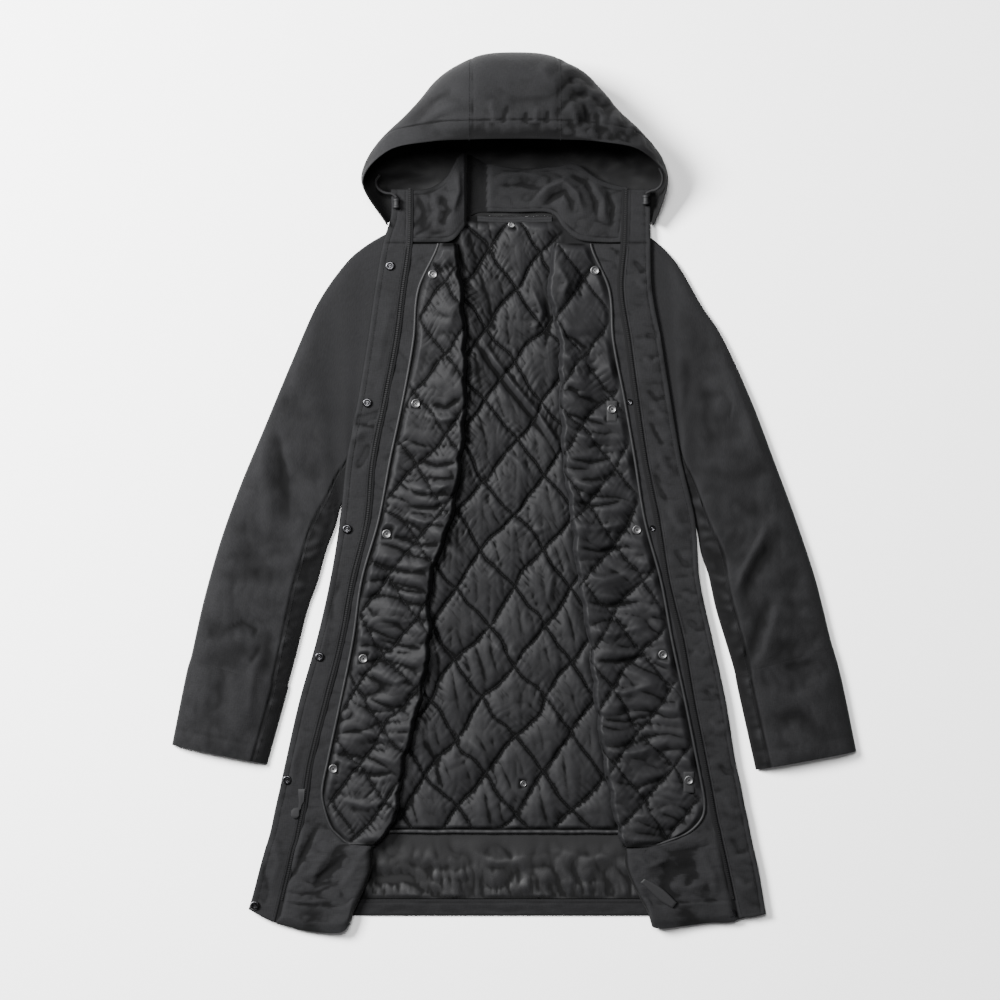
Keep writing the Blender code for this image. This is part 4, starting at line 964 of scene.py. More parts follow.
def sleeves():
    look = bpy.context.scene.coat_look
    made = {}
    for tag, sections in (("r", RIGHT_SLEEVE), ("l", LEFT_SLEEVE)):
        seed = 21 if tag == "r" else 34

        def crease(x, y, at, width, seam, height, seed=seed):
            soft = ease((height - 6) / 8)
            z = folded(x, y, SLEEVE_FOLDS, look.fold_strength)
            z = z + 2.0 * uneven(x, y, 70, 55, seed) + 1.2 * uneven(x, y, 34, 22, seed + 1)
            z = z + 0.8 * creased(x, y, 46, 60, seed + 3) + 0.35 * creased(x, y, 15, 20, seed + 2)
            under = ease((seam - width + at) / 4)
            z = z + 1.3 * under * creased(x, y, 26, 13, seed + 4)
            groove = bell(width - at - seam, 1.6)
            lap = 0.7 * ease((width - at - seam) / 2.5)
            return z * soft - 1.1 * groove + lap

        ts = np.linspace(0, CUFF_FROM - 0.01, SLEEVE_ROWS)
        ring, inside, uv, width, run = sleeve_rings(sections, ts, SLEEVE_WALL, 0, crease)
        shade = painted_sleeve_shade(tag, sections, ts, width, uv)
        ring, inside, uv = (under_front(tag, grid) for grid in (ring, inside, uv))
        shade = np.concatenate([shade[:1]] * 4 + [shade])
        obj = tube_between(f"sleeve_{tag}", ring, inside, finish_of("shell"), uv, shade)
        cloth(obj, "shell", (f"sleeve_top_{tag}", f"sleeve_under_{tag}"),
              *cut_of_tube(ring, width, run))
        made[f"sleeve_{tag}"] = obj

        ts = np.linspace(CUFF_FROM - 0.03, 11, CUFF_ROWS)
        ring, inside, uv, width, run = sleeve_rings(sections, ts, CUFF_WALL, 0.3, crease)
        fade = bell(run - run[-1] + 22, 1.5)[:, None]
        ring[:, 4:SLEEVE_TOP - 4, 2] -= 0.5 * fade
        shade = painted_sleeve_shade(tag, sections, ts, width, uv)
        obj = tube_between(f"sleeve_cuff_{tag}", ring, inside, finish_of("shell"), uv, shade)
        cloth(obj, "shell", (f"cuff_{tag}",), *cut_of_tube(ring, width, run))
        made[f"cuff_{tag}"] = obj
    return made


# ---- Hood and collar

HOOD_FOLDS = (
    Fold(((14, 462), (12, 448), (11, 446)), 3, -1.4),
    Fold(((27, 468), (25, 450), (25, 446)), 4, 1.5),
    Fold(((40, 464), (38, 450), (38, 446)), 3, -1.3),
    Fold(((66, 480), (72, 460), (74, 446)), 6, 2.4, 0.2),
    Fold(((82, 476), (88, 458), (92, 446)), 5, -2.4),
    Fold(((100, 472), (106, 456), (104, 444)), 5, 2.0),
    Fold(((62, 512), (74, 490), (92, 478)), 8, -2.2),
    Fold(((28, 520), (40, 500), (60, 492)), 9, 1.8),
    Fold(((-8, 470), (-14, 450), (-13, 446)), 3, -1.0),
    Fold(((-30, 476), (-26, 456), (-28, 446)), 4, 1.2),
    Fold(((-66, 470), (-90, 462), (-120, 446)), 6, 1.4, 0.2),
    Fold(((-64, 500), (-96, 478), (-132, 452)), 10, -1.2),
)


HOOD_INSIDE_FOLDS = (
    Fold(((-172, 392), (-140, 390), (-98, 396)), 7, 5.0, 0.5),
    Fold(((-120, 424), (-90, 416), (-64, 400)), 12, 2.0),
    Fold(((66, 424), (92, 412), (116, 404)), 12, 2.4),
    Fold(((116, 418), (138, 406), (160, 400)), 10, 2.2),
    Fold(((-20, 432), (20, 424), (52, 430)), 9, 3.0, 0.3),
)


def hood_grid(hoops, across):
    """Middle surface of the hood: hoops from the front edge down to the neck seam."""
    parts = through(np.array(HOOPS), hoops)
    zero, seam = np.zeros(len(parts)), np.full(len(parts), HOOD_SEAM_X)
    nx, ny, nz, sx, sy, sz, hx, hy, hz, cx, cy, cz, my, mz, ty, tz = parts.T
    half = [(nx, ny, nz), (sx, sy, sz), (hx, hy, hz), (cx, cy, cz), (seam, my, mz), (zero, ty, tz)]
    full = half + [(-x, y, z) for x, y, z in half[-2::-1]]
    grid = np.stack([through(np.array([[p[0][k], p[1][k], p[2][k]] for p in full]), across)
                     for k in range(len(parts))])
    low = 1 - np.minimum(across, 10 - across)
    grid[..., 0] = NECK_SHIFT * ease(low) - grid[..., 0]
    grid[..., 2] = np.maximum(grid[..., 2], 0.9)
    return grid


def hood():
    look = bpy.context.scene.coat_look
    hoops = np.concatenate([np.linspace(0, 3, HOOD_FRONT_ROWS),
                            np.linspace(3, 8, HOOD_BACK_ROWS)[1:]])
    across = np.linspace(0, 10, HOOD_COLUMNS)
    grid = hood_grid(hoops, across)
    by = normals(grid)
    if by[len(hoops) // 3, len(across) // 2, 2] < 0:
        by = -by
    x, y, z = grid[..., 0], grid[..., 1], grid[..., 2]
    run = np.concatenate([np.zeros((1, grid.shape[1])),
                          np.cumsum(np.linalg.norm(np.diff(grid, axis=0), axis=-1), 0)])
    off_floor = ease((z - 3) / 14)
    bump = folded(x, y, HOOD_FOLDS, look.fold_strength) * ease((z - 40) / 30)
    bump += (1.6 * uneven(x, y, 60, 36, 51) + 0.6 * uneven(x, y, 30, 20, 52)) * off_floor
    crumple = 0.15 + 2.2 * ease((x - 36) / 36)
    bump += 0.9 * crumple * creased(x, y, 34, 26, 58) * off_floor
    bump += 0.3 * crumple * creased(x, y, 15, 12, 59) * off_floor
    puckers = ease((x + 50) / 14) * bell(run - 22, 14)
    bump += 0.9 * uneven(x, y, 9, 40, 53) * off_floor * puckers
    bump *= 0.2 + 0.8 * ease(np.abs(by[..., 2]) / 0.6)
    seam = bell(np.abs(x) - HOOD_SEAM_X, 1.3) * ease((z - 3) / 6)
    bump -= 0.9 * seam
    bump -= 0.8 * bell(run - 23, 1.2)
    inner_bump = 2.2 * uneven(x, y, 34, 24, 55) + 1.2 * uneven(x, y, 15, 11, 56)
    inner_bump = inner_bump - folded(x, y, HOOD_INSIDE_FOLDS, look.fold_strength)
    rim = np.clip(1 - run / 2.5, 0, 1) ** 2
    out = HOOD_WALL / 2 + bump * ease(run / 6) + 0.2 - 0.5 * rim
    inside = HOOD_WALL / 2 - 0.5 * rim - inner_bump * ease((3 - z) / 3) * ease(run / 12) * 0.8
    inside = inside - bump * ease(run / 6)
    top, low = grid + by * out[..., None], grid - by * inside[..., None]
    top[..., 2], low[..., 2] = np.maximum(top[..., 2], 0.0), np.maximum(low[..., 2], 0.0)
    uv = np.stack([np.broadcast_to((across * 66)[None, :], run.shape), -run], -1)
    # Painted shade: the hood's outside darker all over, and its inside darker still, darkest near
    # its front edge, with uneven darker patches.
    obj = sheet_between("hood", top, low, finish_of("shell"), uv, broad=0.6,
                        shade=0.8, under=0.66 + 0.32 * np.exp(-run / 50)
                        + 0.3 * creased(x, y, 46, 20, 57) * ease((run - 30) / 30))
    obj.data.materials.append(finish_of("lining"))
    skin = (grid.shape[0] - 1) * (grid.shape[1] - 1)
    part = np.zeros(len(obj.data.polygons), np.int32)
    part[skin:2 * skin] = 1
    obj.data.polygons.foreach_set("material_index", part)
    wide = float(np.linalg.norm(np.diff(grid, axis=1), axis=-1).sum(1).mean())
    long = float(run[-1].mean())
    cloth(obj, "shell", ("hood_centre", "hood_side_l", "hood_side_r"), wide, long, 0.85)
    return obj


COLLAR_FOLDS = (
    Fold(((-122, 374), (-112, 350), (-114, 326)), 5, -1.4),
    Fold(((-104, 376), (-94, 352), (-100, 324)), 8, 2.0, 0.3),
    Fold(((-92, 372), (-82, 352), (-90, 330)), 5, -2.0),
    Fold(((-70, 404), (-68, 374), (-78, 344)), 6, 2.4, 0.3),
    Fold(((-24, 394), (10, 398), (44, 390)), 5, 1.6, 0.3),
    Fold(((-26, 382), (8, 384), (34, 378)), 4, -1.4),
    Fold(((24, 362), (40, 380), (60, 388), (78, 372), (86, 344)), 6, 3.6, 0.3),
    Fold(((34, 358), (48, 368), (62, 374), (70, 362), (72, 346)), 5, -3.4),
    Fold(((66, 396), (88, 386), (100, 362), (102, 336)), 5, -2.6),
    Fold(((94, 386), (110, 366), (112, 334)), 7, 2.2, 0.3),
    Fold(((112, 380), (122, 356), (118, 330)), 4, -1.6),
)


def collar():
    look = bpy.context.scene.coat_look
    t = np.linspace(0, len(COLLAR) - 1, COLLAR_COLUMNS)
    v = np.linspace(0, 1, COLLAR_ROWS)[:, None]
    lx, ly, ux, uy, low_z, up_z = through(np.array(COLLAR), t).T
    # The right side stands up beside the neck with a pointed top, and the back lies lower.
    peak = bell(lx + 64, 9)
    uy = uy + 10 * peak
    x, y = lx + (ux - lx) * v, ly + (uy - ly) * v
    away = ease((118 - np.abs(lx)) / 30)
    z = low_z + (up_z - low_z) * v + 1.6 * np.sin(np.pi * v) * away
    z += 4.5 * bell(x + 74, 17)
    sunk = ease((x + 62) / 3.5) * ease((-29 - x) / 9)
    z += (3.0 - z) * sunk
    bump = folded(x, y, COLLAR_FOLDS, look.fold_strength) + 0.8 * uneven(x, y, 26, 18, 61)
    bump += 0.5 * creased(x, y, 20, 15, 62) + 0.4
    edge = np.minimum(np.minimum(v, 1 - v) * 70, np.minimum(t, t[-1] - t)[None, :] * 25)
    bump = (bump - 0.4 * bell(edge - 6, 1.2)) * ease(edge / 8)
    bump = np.maximum(bump, -(z - 3.2))
    soft = 0.4 + 0.6 * rounded(edge, 2)
    top = np.stack([x, y, z + COLLAR_WALL / 2 * soft + np.maximum(bump, -0.6 - 3.0 * away)], -1)
    low = np.stack([x, y, z - COLLAR_WALL / 2 + np.clip(bump, -3.0, 0) * away * 0.9], -1)
    # Painted shade: a shadow in the sunk gap beside the neck, the collar's right part darker, its
    # left part a little darker, and the back a trace lighter.
    obj = sheet_between("stand_collar", top, low, finish_of("shell"),
                        shade=1.4 * sunk * (1 - ease((x + 38) / 8)) - 0.05 * ease((x + 30) / 8)
                        + 0.4 * ease((-50 - x) / 10) + 0.15 * ease((x - 60) / 10),
                        broad=0.7)
    return cloth(obj, "shell", ("collar",), 300, 68, 0.9)


# ---- Liner

def warp(x, y, seed):
    """How far the quilting has shifted from its even lattice."""
    return (6.5 * uneven(x, y, 64, 74, seed) + 2.4 * uneven(x, y, 24, 28, seed + 1),
            7.5 * uneven(x, y, 64, 74, seed + 2) + 3.0 * uneven(x, y, 24, 28, seed + 3))


def lattice(x, y, x0, y0, seed):
    """Distances in mm from the two nearest quilting seams and the places along them."""
    wx, wy = warp(x, y, seed)
    col, row = (x + wx - x0) / QUILT_X, (y0 - y - wy) / QUILT_Y
    step = 1 / math.hypot(1 / QUILT_X, 1 / QUILT_Y)
    length = math.hypot(QUILT_X, QUILT_Y) / 2
    found = []
    for turn in (col - row, col + row):
        line = np.round(turn / 4)
        found.append((np.abs(turn - 4 * line) * step, line))
    along = ((col + row) * length, (col - row) * length)
    return found[0][0], found[1][0], along, (found[0][1], found[1][1])


def quilted(x, y, x0, y0, seed, puff, pucker):
    """Height of the padded diamonds, with small puckers that run off their seams."""
    du, dv, along, line = lattice(x, y, x0, y0, seed)
    dome = ((1 - (1 - np.clip(du / QUILT_HALF, 0, 1)) ** 3.0) ** 0.36
            * (1 - (1 - np.clip(dv / QUILT_HALF, 0, 1)) ** 3.0) ** 0.62)
    z = puff * dome
    for d, s, k, more in ((du, along[0], line[0], 5), (dv, along[1], line[1], 7)):
        gather = creased(s, k * 40.0 + d * 0.6, 7.5, 26, seed + more)
        gather += 0.4 * creased(s, k * 40.0 + d, 3.6, 20, seed + more + 1)
        z += pucker * gather * np.exp(-d / 10.0) * ease(d / 1.5)
    return z, np.minimum(du, dv)


def quilt_lines(inside, x0, y0, seed, x_range, y_range):
    """Points along every quilting seam that inside(x, y) accepts, in runs."""
    runs = []
    for sign in (1, -1):
        for k in range(-40, 41):
            s = np.arange(-1400, 1400, 2.0)
            unit_x, unit_y = QUILT_X, QUILT_Y * sign
            length = math.hypot(unit_x, unit_y)
            px = x0 + 4 * k * QUILT_X + s * unit_x / length
            py = y0 - s * unit_y / length
            keep = ((px > x_range[0] - 10) & (px < x_range[1] + 10)
                    & (py > y_range[0] - 10) & (py < y_range[1] + 10))
            if not keep.any():
                continue
            px, py = px[keep], py[keep]
            qx, qy = px.copy(), py.copy()
            for _ in range(5):
                wx, wy = warp(qx, qy, seed)
                qx, qy = px - wx, py - wy
            good = inside(qx, qy)
            run = []
            for x, y, ok in zip(qx, qy, good):
                if ok:
                    run.append((x, y))
                elif run:
                    runs.append(run)
                    run = []
            if run:
                runs.append(run)
    return [r for r in runs if len(r) > 4]


LINER_BACK_FOLDS = (
    Fold(((-49, 206), (-22, 164), (0, 136), (30, 100), (54, 64), (64, 20)), 4.5, 2.4, 0.5),
    Fold(((-58, 204), (-30, 160), (-8, 131), (21, 95), (44, 62)), 4.0, -3.0),
    Fold(((-34, 240), (-26, 200), (-40, 150)), 9, -1.8),
    Fold(((20, 260), (34, 226), (22, 196)), 6, 2.2, 0.3),
    Fold(((36, 250), (44, 216), (36, 176)), 5, -2.2),
    Fold(((-20, 60), (6, 40), (24, 10)), 7, 2.0, 0.2),
    Fold(((-46, 30), (-30, 12), (-36, -16)), 6, -1.6),
    Fold(((-10, -30), (20, -46), (44, -40)), 7, 1.6, 0.3),
    Fold(((30, -60), (46, -100), (40, -140)), 7, 1.8, 0.3),
    Fold(((-86, -60), (-60, -84), (-50, -120)), 7, 1.6),
    Fold(((-96, -190), (-72, -200), (-50, -222)), 6, -1.6),
    Fold(((-30, -180), (-8, -200), (16, -196)), 6, 1.5),
    Fold(((34, -230), (52, -262), (50, -300)), 7, 1.6, 0.2),
    Fold(((-60, -300), (-38, -320), (-30, -352)), 7, 1.6, 0.2),
    Fold(((-116, -300), (-96, -330), (-92, -372)), 6, -1.4),
)


def liner_back():
    look = bpy.context.scene.coat_look
    ys = down(NECK_Y - 1, LINER_LOW_Y, QUILT_BACK_STEP)
    right, left = RIGHT.at("seam", ys) - 34, LEFT.at("seam", ys) - 34
    right, left = np.where(ys > 312, 100, right), np.where(ys > 312, 104, left)
    show_r, show_l = RIGHT.at("fold", ys) + 16, LEFT.at("fold", ys) + 16
    inner = between(ys, -show_r, show_l, QUILT_BACK_COLUMNS)[0]
    x = np.concatenate([-right[:, None], inner, left[:, None]], 1)
    y = np.repeat(ys[:, None], x.shape[1], 1)
    z, near = quilted(x, y, 0, NECK_Y - 1, 71, 1000 * look.puff, 1000 * look.pucker)
    z += 1.8 * uneven(x, y, 52, 46, 75)
    facets = ease(near / 9)
    z += 0.7 * creased(x + 0.25 * y, y, 17, 80, 76) * facets
    z += 0.15 * creased(x, y, 8, 34, 77) * facets + 0.3 * creased(x, y, 30, 22, 78)
    z -= 1.0 * bell(near, 1.8)
    z += folded(x, y, LINER_BACK_FOLDS, look.fold_strength)
    shows = ease((x + RIGHT.at("fold", y) + 14) / 24) * ease((LEFT.at("fold", y) + 14 - x) / 24)
    shows *= ease((NECK_Y - 4 - y) / 14) * ease((y - LINER_LOW_Y) / 5)
    z = dimpled(x, y, np.maximum(LINER_TOP + 0.4 + z * shows, 4.2))
    top = np.stack([x, y, z], -1)
    low = level(x, y, LINER_FOOT)
    # Painted shade: a shadow that the right front's roll casts on the back, shade beside the left
    # front's fold and along the quilting seams, and the whole back a little darker.
    past = np.clip(x + RIGHT.at("fold", y), 0, None)
    beside = bell(past, 20 + 22 * ease((y - 80) / 120))
    beside += 0.5 * np.exp(-np.clip(LEFT.at("fold", y) - x, 0, None) / 9)
    seam_shade = bell(near, QUILT_SEAM_SHADE) * shows
    obj = sheet_between("quilted_back", top, low, finish_of("satin"), flat_under=True, angle=70,
                        shade=0.85 * beside + 0.75 * seam_shade + 0.12)
    worn(obj, "quilt", "liner_back")
    lines = quilt_lines(
        lambda px, py: ((px > -RIGHT.at("fold", py) - 6) & (px < LEFT.at("fold", py) + 6)
                        & (py < 338) & (py > LINER_LOW_Y + 2)), 0, NECK_Y - 1, 71,
        (-160, 140), (LINER_LOW_Y, 340))
    tree = surface(obj)
    stitches("quilting_back", [laid_on(tree, run, QUILTING_LIFT) for run in lines], "quilt")
    return obj


LINER_FRONT_FOLDS = {
    "r": (
        Fold(((-70, 292), (-88, 276), (-100, 288)), 6, -2.0),
        Fold(((-62, 246), (-76, 226), (-84, 196)), 8, 1.8, 0.2),
        Fold(((-64, 122), (-84, 108), (-104, 112)), 5, -2.6),
        Fold(((-66, 96), (-90, 92), (-112, 100)), 6, 2.4, 0.3),
        Fold(((-70, 40), (-96, 36), (-120, 44)), 4, -2.6),
        Fold(((-72, 18), (-100, 4), (-134, 8)), 6, 2.6, 0.3),
        Fold(((-76, -4), (-98, -16), (-130, -14)), 4, -2.8),
        Fold(((-82, -30), (-110, -34), (-142, -26)), 6, 2.4, 0.3),
        Fold(((-90, -62), (-118, -62), (-146, -52)), 4, -2.4),
        Fold(((-100, -86), (-126, -92), (-158, -84)), 6, 2.4, 0.3),
        Fold(((-108, -122), (-136, -118), (-162, -108)), 4, -2.2),
        Fold(((-108, -150), (-140, -156), (-172, -148)), 6, 2.2, 0.3),
        Fold(((-112, -190), (-140, -186), (-170, -178)), 4, -2.2),
        Fold(((-120, -222), (-146, -230), (-178, -222)), 7, 2.2, 0.3),
        Fold(((-128, -262), (-152, -262), (-184, -250)), 4, -2.2),
        Fold(((-136, -300), (-164, -300), (-196, -286)), 7, 2.0, 0.3),
        Fold(((-146, -340), (-172, -346), (-206, -336)), 5, -2.0),
        Fold(((-152, -376), (-182, -384), (-214, -376)), 7, 2.0, 0.3),
    ),
    "l": (
        Fold(((52, 284), (66, 262), (58, 240)), 6, 2.2, 0.2),
        Fold(((74, 290), (86, 268), (78, 236)), 6, -1.6),
        Fold(((58, 198), (74, 192), (92, 178)), 4, -2.8),
        Fold(((58, 176), (78, 164), (98, 160)), 7, 2.4, 0.3),
        Fold(((60, 142), (80, 122), (112, 112)), 5, -2.8),
        Fold(((62, 102), (84, 94), (112, 88)), 4, -2.6),
        Fold(((62, 82), (88, 72), (118, 70)), 7, 2.6, 0.3),
        Fold(((64, 46), (92, 40), (124, 46)), 4, -2.8),
        Fold(((66, 20), (94, 12), (130, 18)), 7, 2.6, 0.3),
        Fold(((70, -6), (98, -14), (134, -8)), 4, -3.0),
        Fold(((72, -34), (102, -42), (142, -34)), 7, 2.6, 0.3),
        Fold(((76, -64), (106, -70), (146, -62)), 4, -2.8),
        Fold(((80, -96), (112, -104), (152, -94)), 7, 2.4, 0.3),
        Fold(((86, -130), (116, -138), (160, -130)), 4, -2.6),
        Fold(((92, -164), (124, -172), (168, -160)), 7, 2.4, 0.3),
        Fold(((96, -204), (128, -206), (172, -196)), 4, -2.6),
        Fold(((100, -238), (134, -244), (178, -232)), 7, 2.2, 0.3),
        Fold(((104, -276), (138, -280), (184, -268)), 4, -2.4),
        Fold(((110, -316), (146, -318), (190, -306)), 7, 2.2, 0.3),
        Fold(((116, -352), (152, -360), (200, -346)), 5, -2.2),
        Fold(((124, -392), (158, -396), (198, -386)), 7, 2.0, 0.3),
    ),
}


def dimpled(x, y, z):
    """The quilt drawn down under each button and tab that is sewn to it."""
    for spot in BUTTONS + TABS:
        low, high = (np.array(corner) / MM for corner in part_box(spot.node))
        middle, half = (low + high) / 2, (high - low) / 2
        away = np.hypot(np.maximum(np.abs(x - middle[0]) - half[0], 0),
                        np.maximum(np.abs(y - middle[1]) - half[1], 0))
        z = np.where(away < 14, np.minimum(z, low[2] + 0.4 + 0.75 * away), z)
    return z


# Where the padding turns in under the fold: how far behind the fold line, and the height.
TUCK_TOP = ((4.2, 5.7), (1.6, 6.1), (0.1, 8.0))
TUCK_LOW = ((3.6, 5.9), (3.5, 7.0), (3.5, 8.4), (3.6, LAID), (4.2, LAID))


def liner_front(side):
    look = bpy.context.scene.coat_look
    seed = 81 if side is RIGHT else 91
    end = side.liner_end
    ys = down(FRONT_TOP_Y, end, QUILT_FRONT_STEP)
    fold, edge = side.at("fold", ys), side.at("liner", ys)
    fold = fold + 1.6 - 3.0 * np.abs(np.sin(np.pi * (ys + 9 * uneven(ys, ys, 60, 60, seed)) / 46))
    fold = fold + 0.9 * uneven(ys, ys, 14, 14, seed) + 0.5 * uneven(ys, ys, 6, 6, seed + 1)
    edge = edge + 0.2 * uneven(ys, ys, 12, 12, seed + 2)
    t = np.linspace(0, 1, QUILT_FRONT_COLUMNS) ** 1.12
    out = fold[:, None] + 1.0 + (edge - fold - 1.0)[:, None] * t
    y = np.repeat(ys[:, None], len(t), 1)
    x = side.sign * out
    past = out - fold[:, None]
    quilt_x0 = side.sign * 50.0
    z, near = quilted(x, y, quilt_x0, FRONT_TOP_Y, seed, 1000 * look.puff, 1000 * look.pucker)
    z += folded(x, y, LINER_FRONT_FOLDS[side.tag], look.fold_strength)
    calm = ease((y - side.calm_above) / 70) + ease((-345 - y) / 40) * (side is RIGHT)
    rough = 1 - 0.8 * np.clip(calm, 0, 1)
    z += 1.2 * uneven(x, y, 44, 24, seed + 11)
    z += rough * (1.9 * creased(x, y + 0.15 * x, 46, 20, seed + 12)
                  + 0.28 * creased(x, y, 24, 11, seed + 13))
    z += (1 - rough) * 0.6 * creased(x, y, 22, 80, seed + 14)
    ends = ease((edge[:, None] - out) / 9) * ease((FRONT_TOP_Y - y) / 10) * ease((y - end) / 10)
    z = 2.0 + roll(past + 1.2) + z * ends * ease((past + 3) / 8)
    top = side.place(out, y, np.maximum(dimpled(x, y, LAID + np.maximum(z, 0.9)), LAID + 0.9))
    # Round the fold the padding turns under the shell.
    under = [side.place(fold + back, ys, np.full(len(ys), height)) for back, height in TUCK_TOP]
    under.append(side.place(fold - 0.2, ys, np.full(len(ys), LAID + 2.2) + z[:, 0] * 0.2))
    top = np.concatenate([np.stack(under, 1), top], 1)
    low = top.copy()
    low[..., 2] = LAID
    for k, (back, height) in enumerate(TUCK_LOW):
        low[:, k] = side.place(fold + back, ys, np.full(len(ys), height))
    for k in range(5, 9):
        low[:, k, 0] = side.sign * np.maximum(low[:, k, 0] * side.sign, fold + 4.2 + 0.6 * (k - 4))
    # Painted shade along the quilting seams and along the tuck under the fold; the right front is
    # painted darker and the left front painted lighter.
    seam_shade = np.zeros(top.shape[:2])
    seam_shade[:, 4:] = bell(near, QUILT_SEAM_SHADE) * ends * ease(past / 8)
    seam_shade[:, :10] += 0.7
    obj = sheet_between(f"quilted_front_{side.tag}", top, low, finish_of("satin"), angle=70,
                        shade=0.75 * seam_shade - 0.18 * side.sign)
    worn(obj, "quilt", f"liner_front_{side.tag}")

    def inside(px, py):
        away = px * side.sign
        return ((away > side.at("fold", py) + 4) & (away < side.at("liner", py) - 3)
                & (py < 304) & (py > -424))

    span = sorted((side.sign * 30, side.sign * 245))
    lines = quilt_lines(inside, quilt_x0, FRONT_TOP_Y, seed, span, (-430, 310))
    tree = surface(obj)
    stitches(f"quilting_front_{side.tag}", [laid_on(tree, run, QUILTING_LIFT) for run in lines],
             "quilt")
    return obj


def half_round(radius, flat=0.9):
    angles = np.radians(np.linspace(0, 360, 13)[:-1])
    return [(radius * math.cos(a), radius * flat * math.sin(a)) for a in angles]


def edgings():
    """Piping down both fronts, and the bindings of the quilted back."""
    for side in FRONTS:
        end = side.liner_end
        ys = np.concatenate([np.arange(FRONT_TOP_Y, end + 6, -2.0),
                             np.linspace(end + 5, end + 0.6, 8)])
        out = side.at("liner", ys) + GAP + BEAD / 2
        run = np.arange(out[-1] - 2, side.at("fold", end) + 1.5, -2.0)
        ys = np.concatenate([ys, end + 0.2 - 1.8 * ease((out[-1] - run) / 30)])
        out = np.concatenate([out, run])
        turn = slice(len(out) - len(run) - 12, len(out) - len(run) + 12)
        for _ in range(10):
            out[turn] = (out[turn.start - 1:turn.stop - 1] + out[turn.start + 1:turn.stop + 1]) / 2
            ys[turn] = (ys[turn.start - 1:turn.stop - 1] + ys[turn.start + 1:turn.stop + 1]) / 2
        wobble = 0.4 * uneven(ys, out, 9, 9, 17)
        path = side.place(out, ys, np.full(len(ys), LAID + 2.0) + wobble * 0.5)
        obj = swept(f"piping_{side.tag}_bead", path, half_round(1.9), finish_of("binding"))
        worn(obj, "binding", f"piping_{side.tag}")
    low = LINER_LOW_Y
    right, left = float(RIGHT.at("fold", low)), float(LEFT.at("fold", low))
    xs = np.arange(-right - 2, left + 2, 2.0)
    path = np.stack([xs, low - 2.7 + 0.5 * uneven(xs, xs, 40, 40, 5),
                     BINDING_FOOT + 0.6 * uneven(xs, xs, 9, 9, 6)], -1)
    obj = swept("binding_hem_roll", path, half_round(2.6, 0.8), finish_of("binding"))
    worn(obj, "binding", "binding_back_hem")
    xs = np.linspace(-46, 46, 60)
    rows = np.linspace(0, 1, 12)[:, None]
    y = NECK_Y - 2 - 8 * rows + 1.2 * uneven(xs, xs, 26, 20, 7) + 0.0008 * xs ** 2
    z = 5.6 + 1.6 * np.sin(np.pi * rows) ** 0.5 - 0.7 * bell(rows - 0.5, 0.1)
    x = np.broadcast_to(xs, y.shape)
    top = np.stack([x, y, np.broadcast_to(z, y.shape)], -1)
    obj = sheet_between("binding_neck_pair", top, level(x, y, BINDING_FOOT), finish_of("shell"))
    worn(obj, "binding", "binding_back_neck")


# ---- Lining

FRONT_LINING_FOLDS = {
    "r": (
        Fold(((-240, -402), (-256, -436), (-272, -466), (-290, -484)), 6, -2.4, 0.3),
        Fold(((-254, -400), (-272, -436), (-290, -466)), 10, 1.8),
        Fold(((-222, -430), (-240, -458), (-254, -480)), 9, 1.8, 0.3),
        Fold(((-203, -438), (-224, -460), (-240, -472), (-250, -490)), 6, -2.0),
        Fold(((-186, -442), (-200, -466), (-214, -486)), 8, 1.4),
        Fold(((-290, -490), (-262, -493), (-236, -491)), 2.6, -1.2),
        Fold(((-284, -501), (-256, -503), (-230, -500)), 2.6, 1.0),
        Fold(((-262, -476), (-246, -481), (-222, -478)), 2.6, -1.0),
    ),
    "l": (
        Fold(((150, -444), (166, -458), (190, -450)), 5, 2.0, 0.2),
        Fold(((176, -452), (200, -466), (228, -456)), 6, -1.6),
        Fold(((186, -480), (212, -486), (240, -478)), 7, 1.8, 0.2),
        Fold(((160, -484), (172, -504), (190, -514)), 6, -1.4),
        Fold(((232, -440), (246, -468), (250, -500)), 7, 1.6, 0.2),
    ),
}


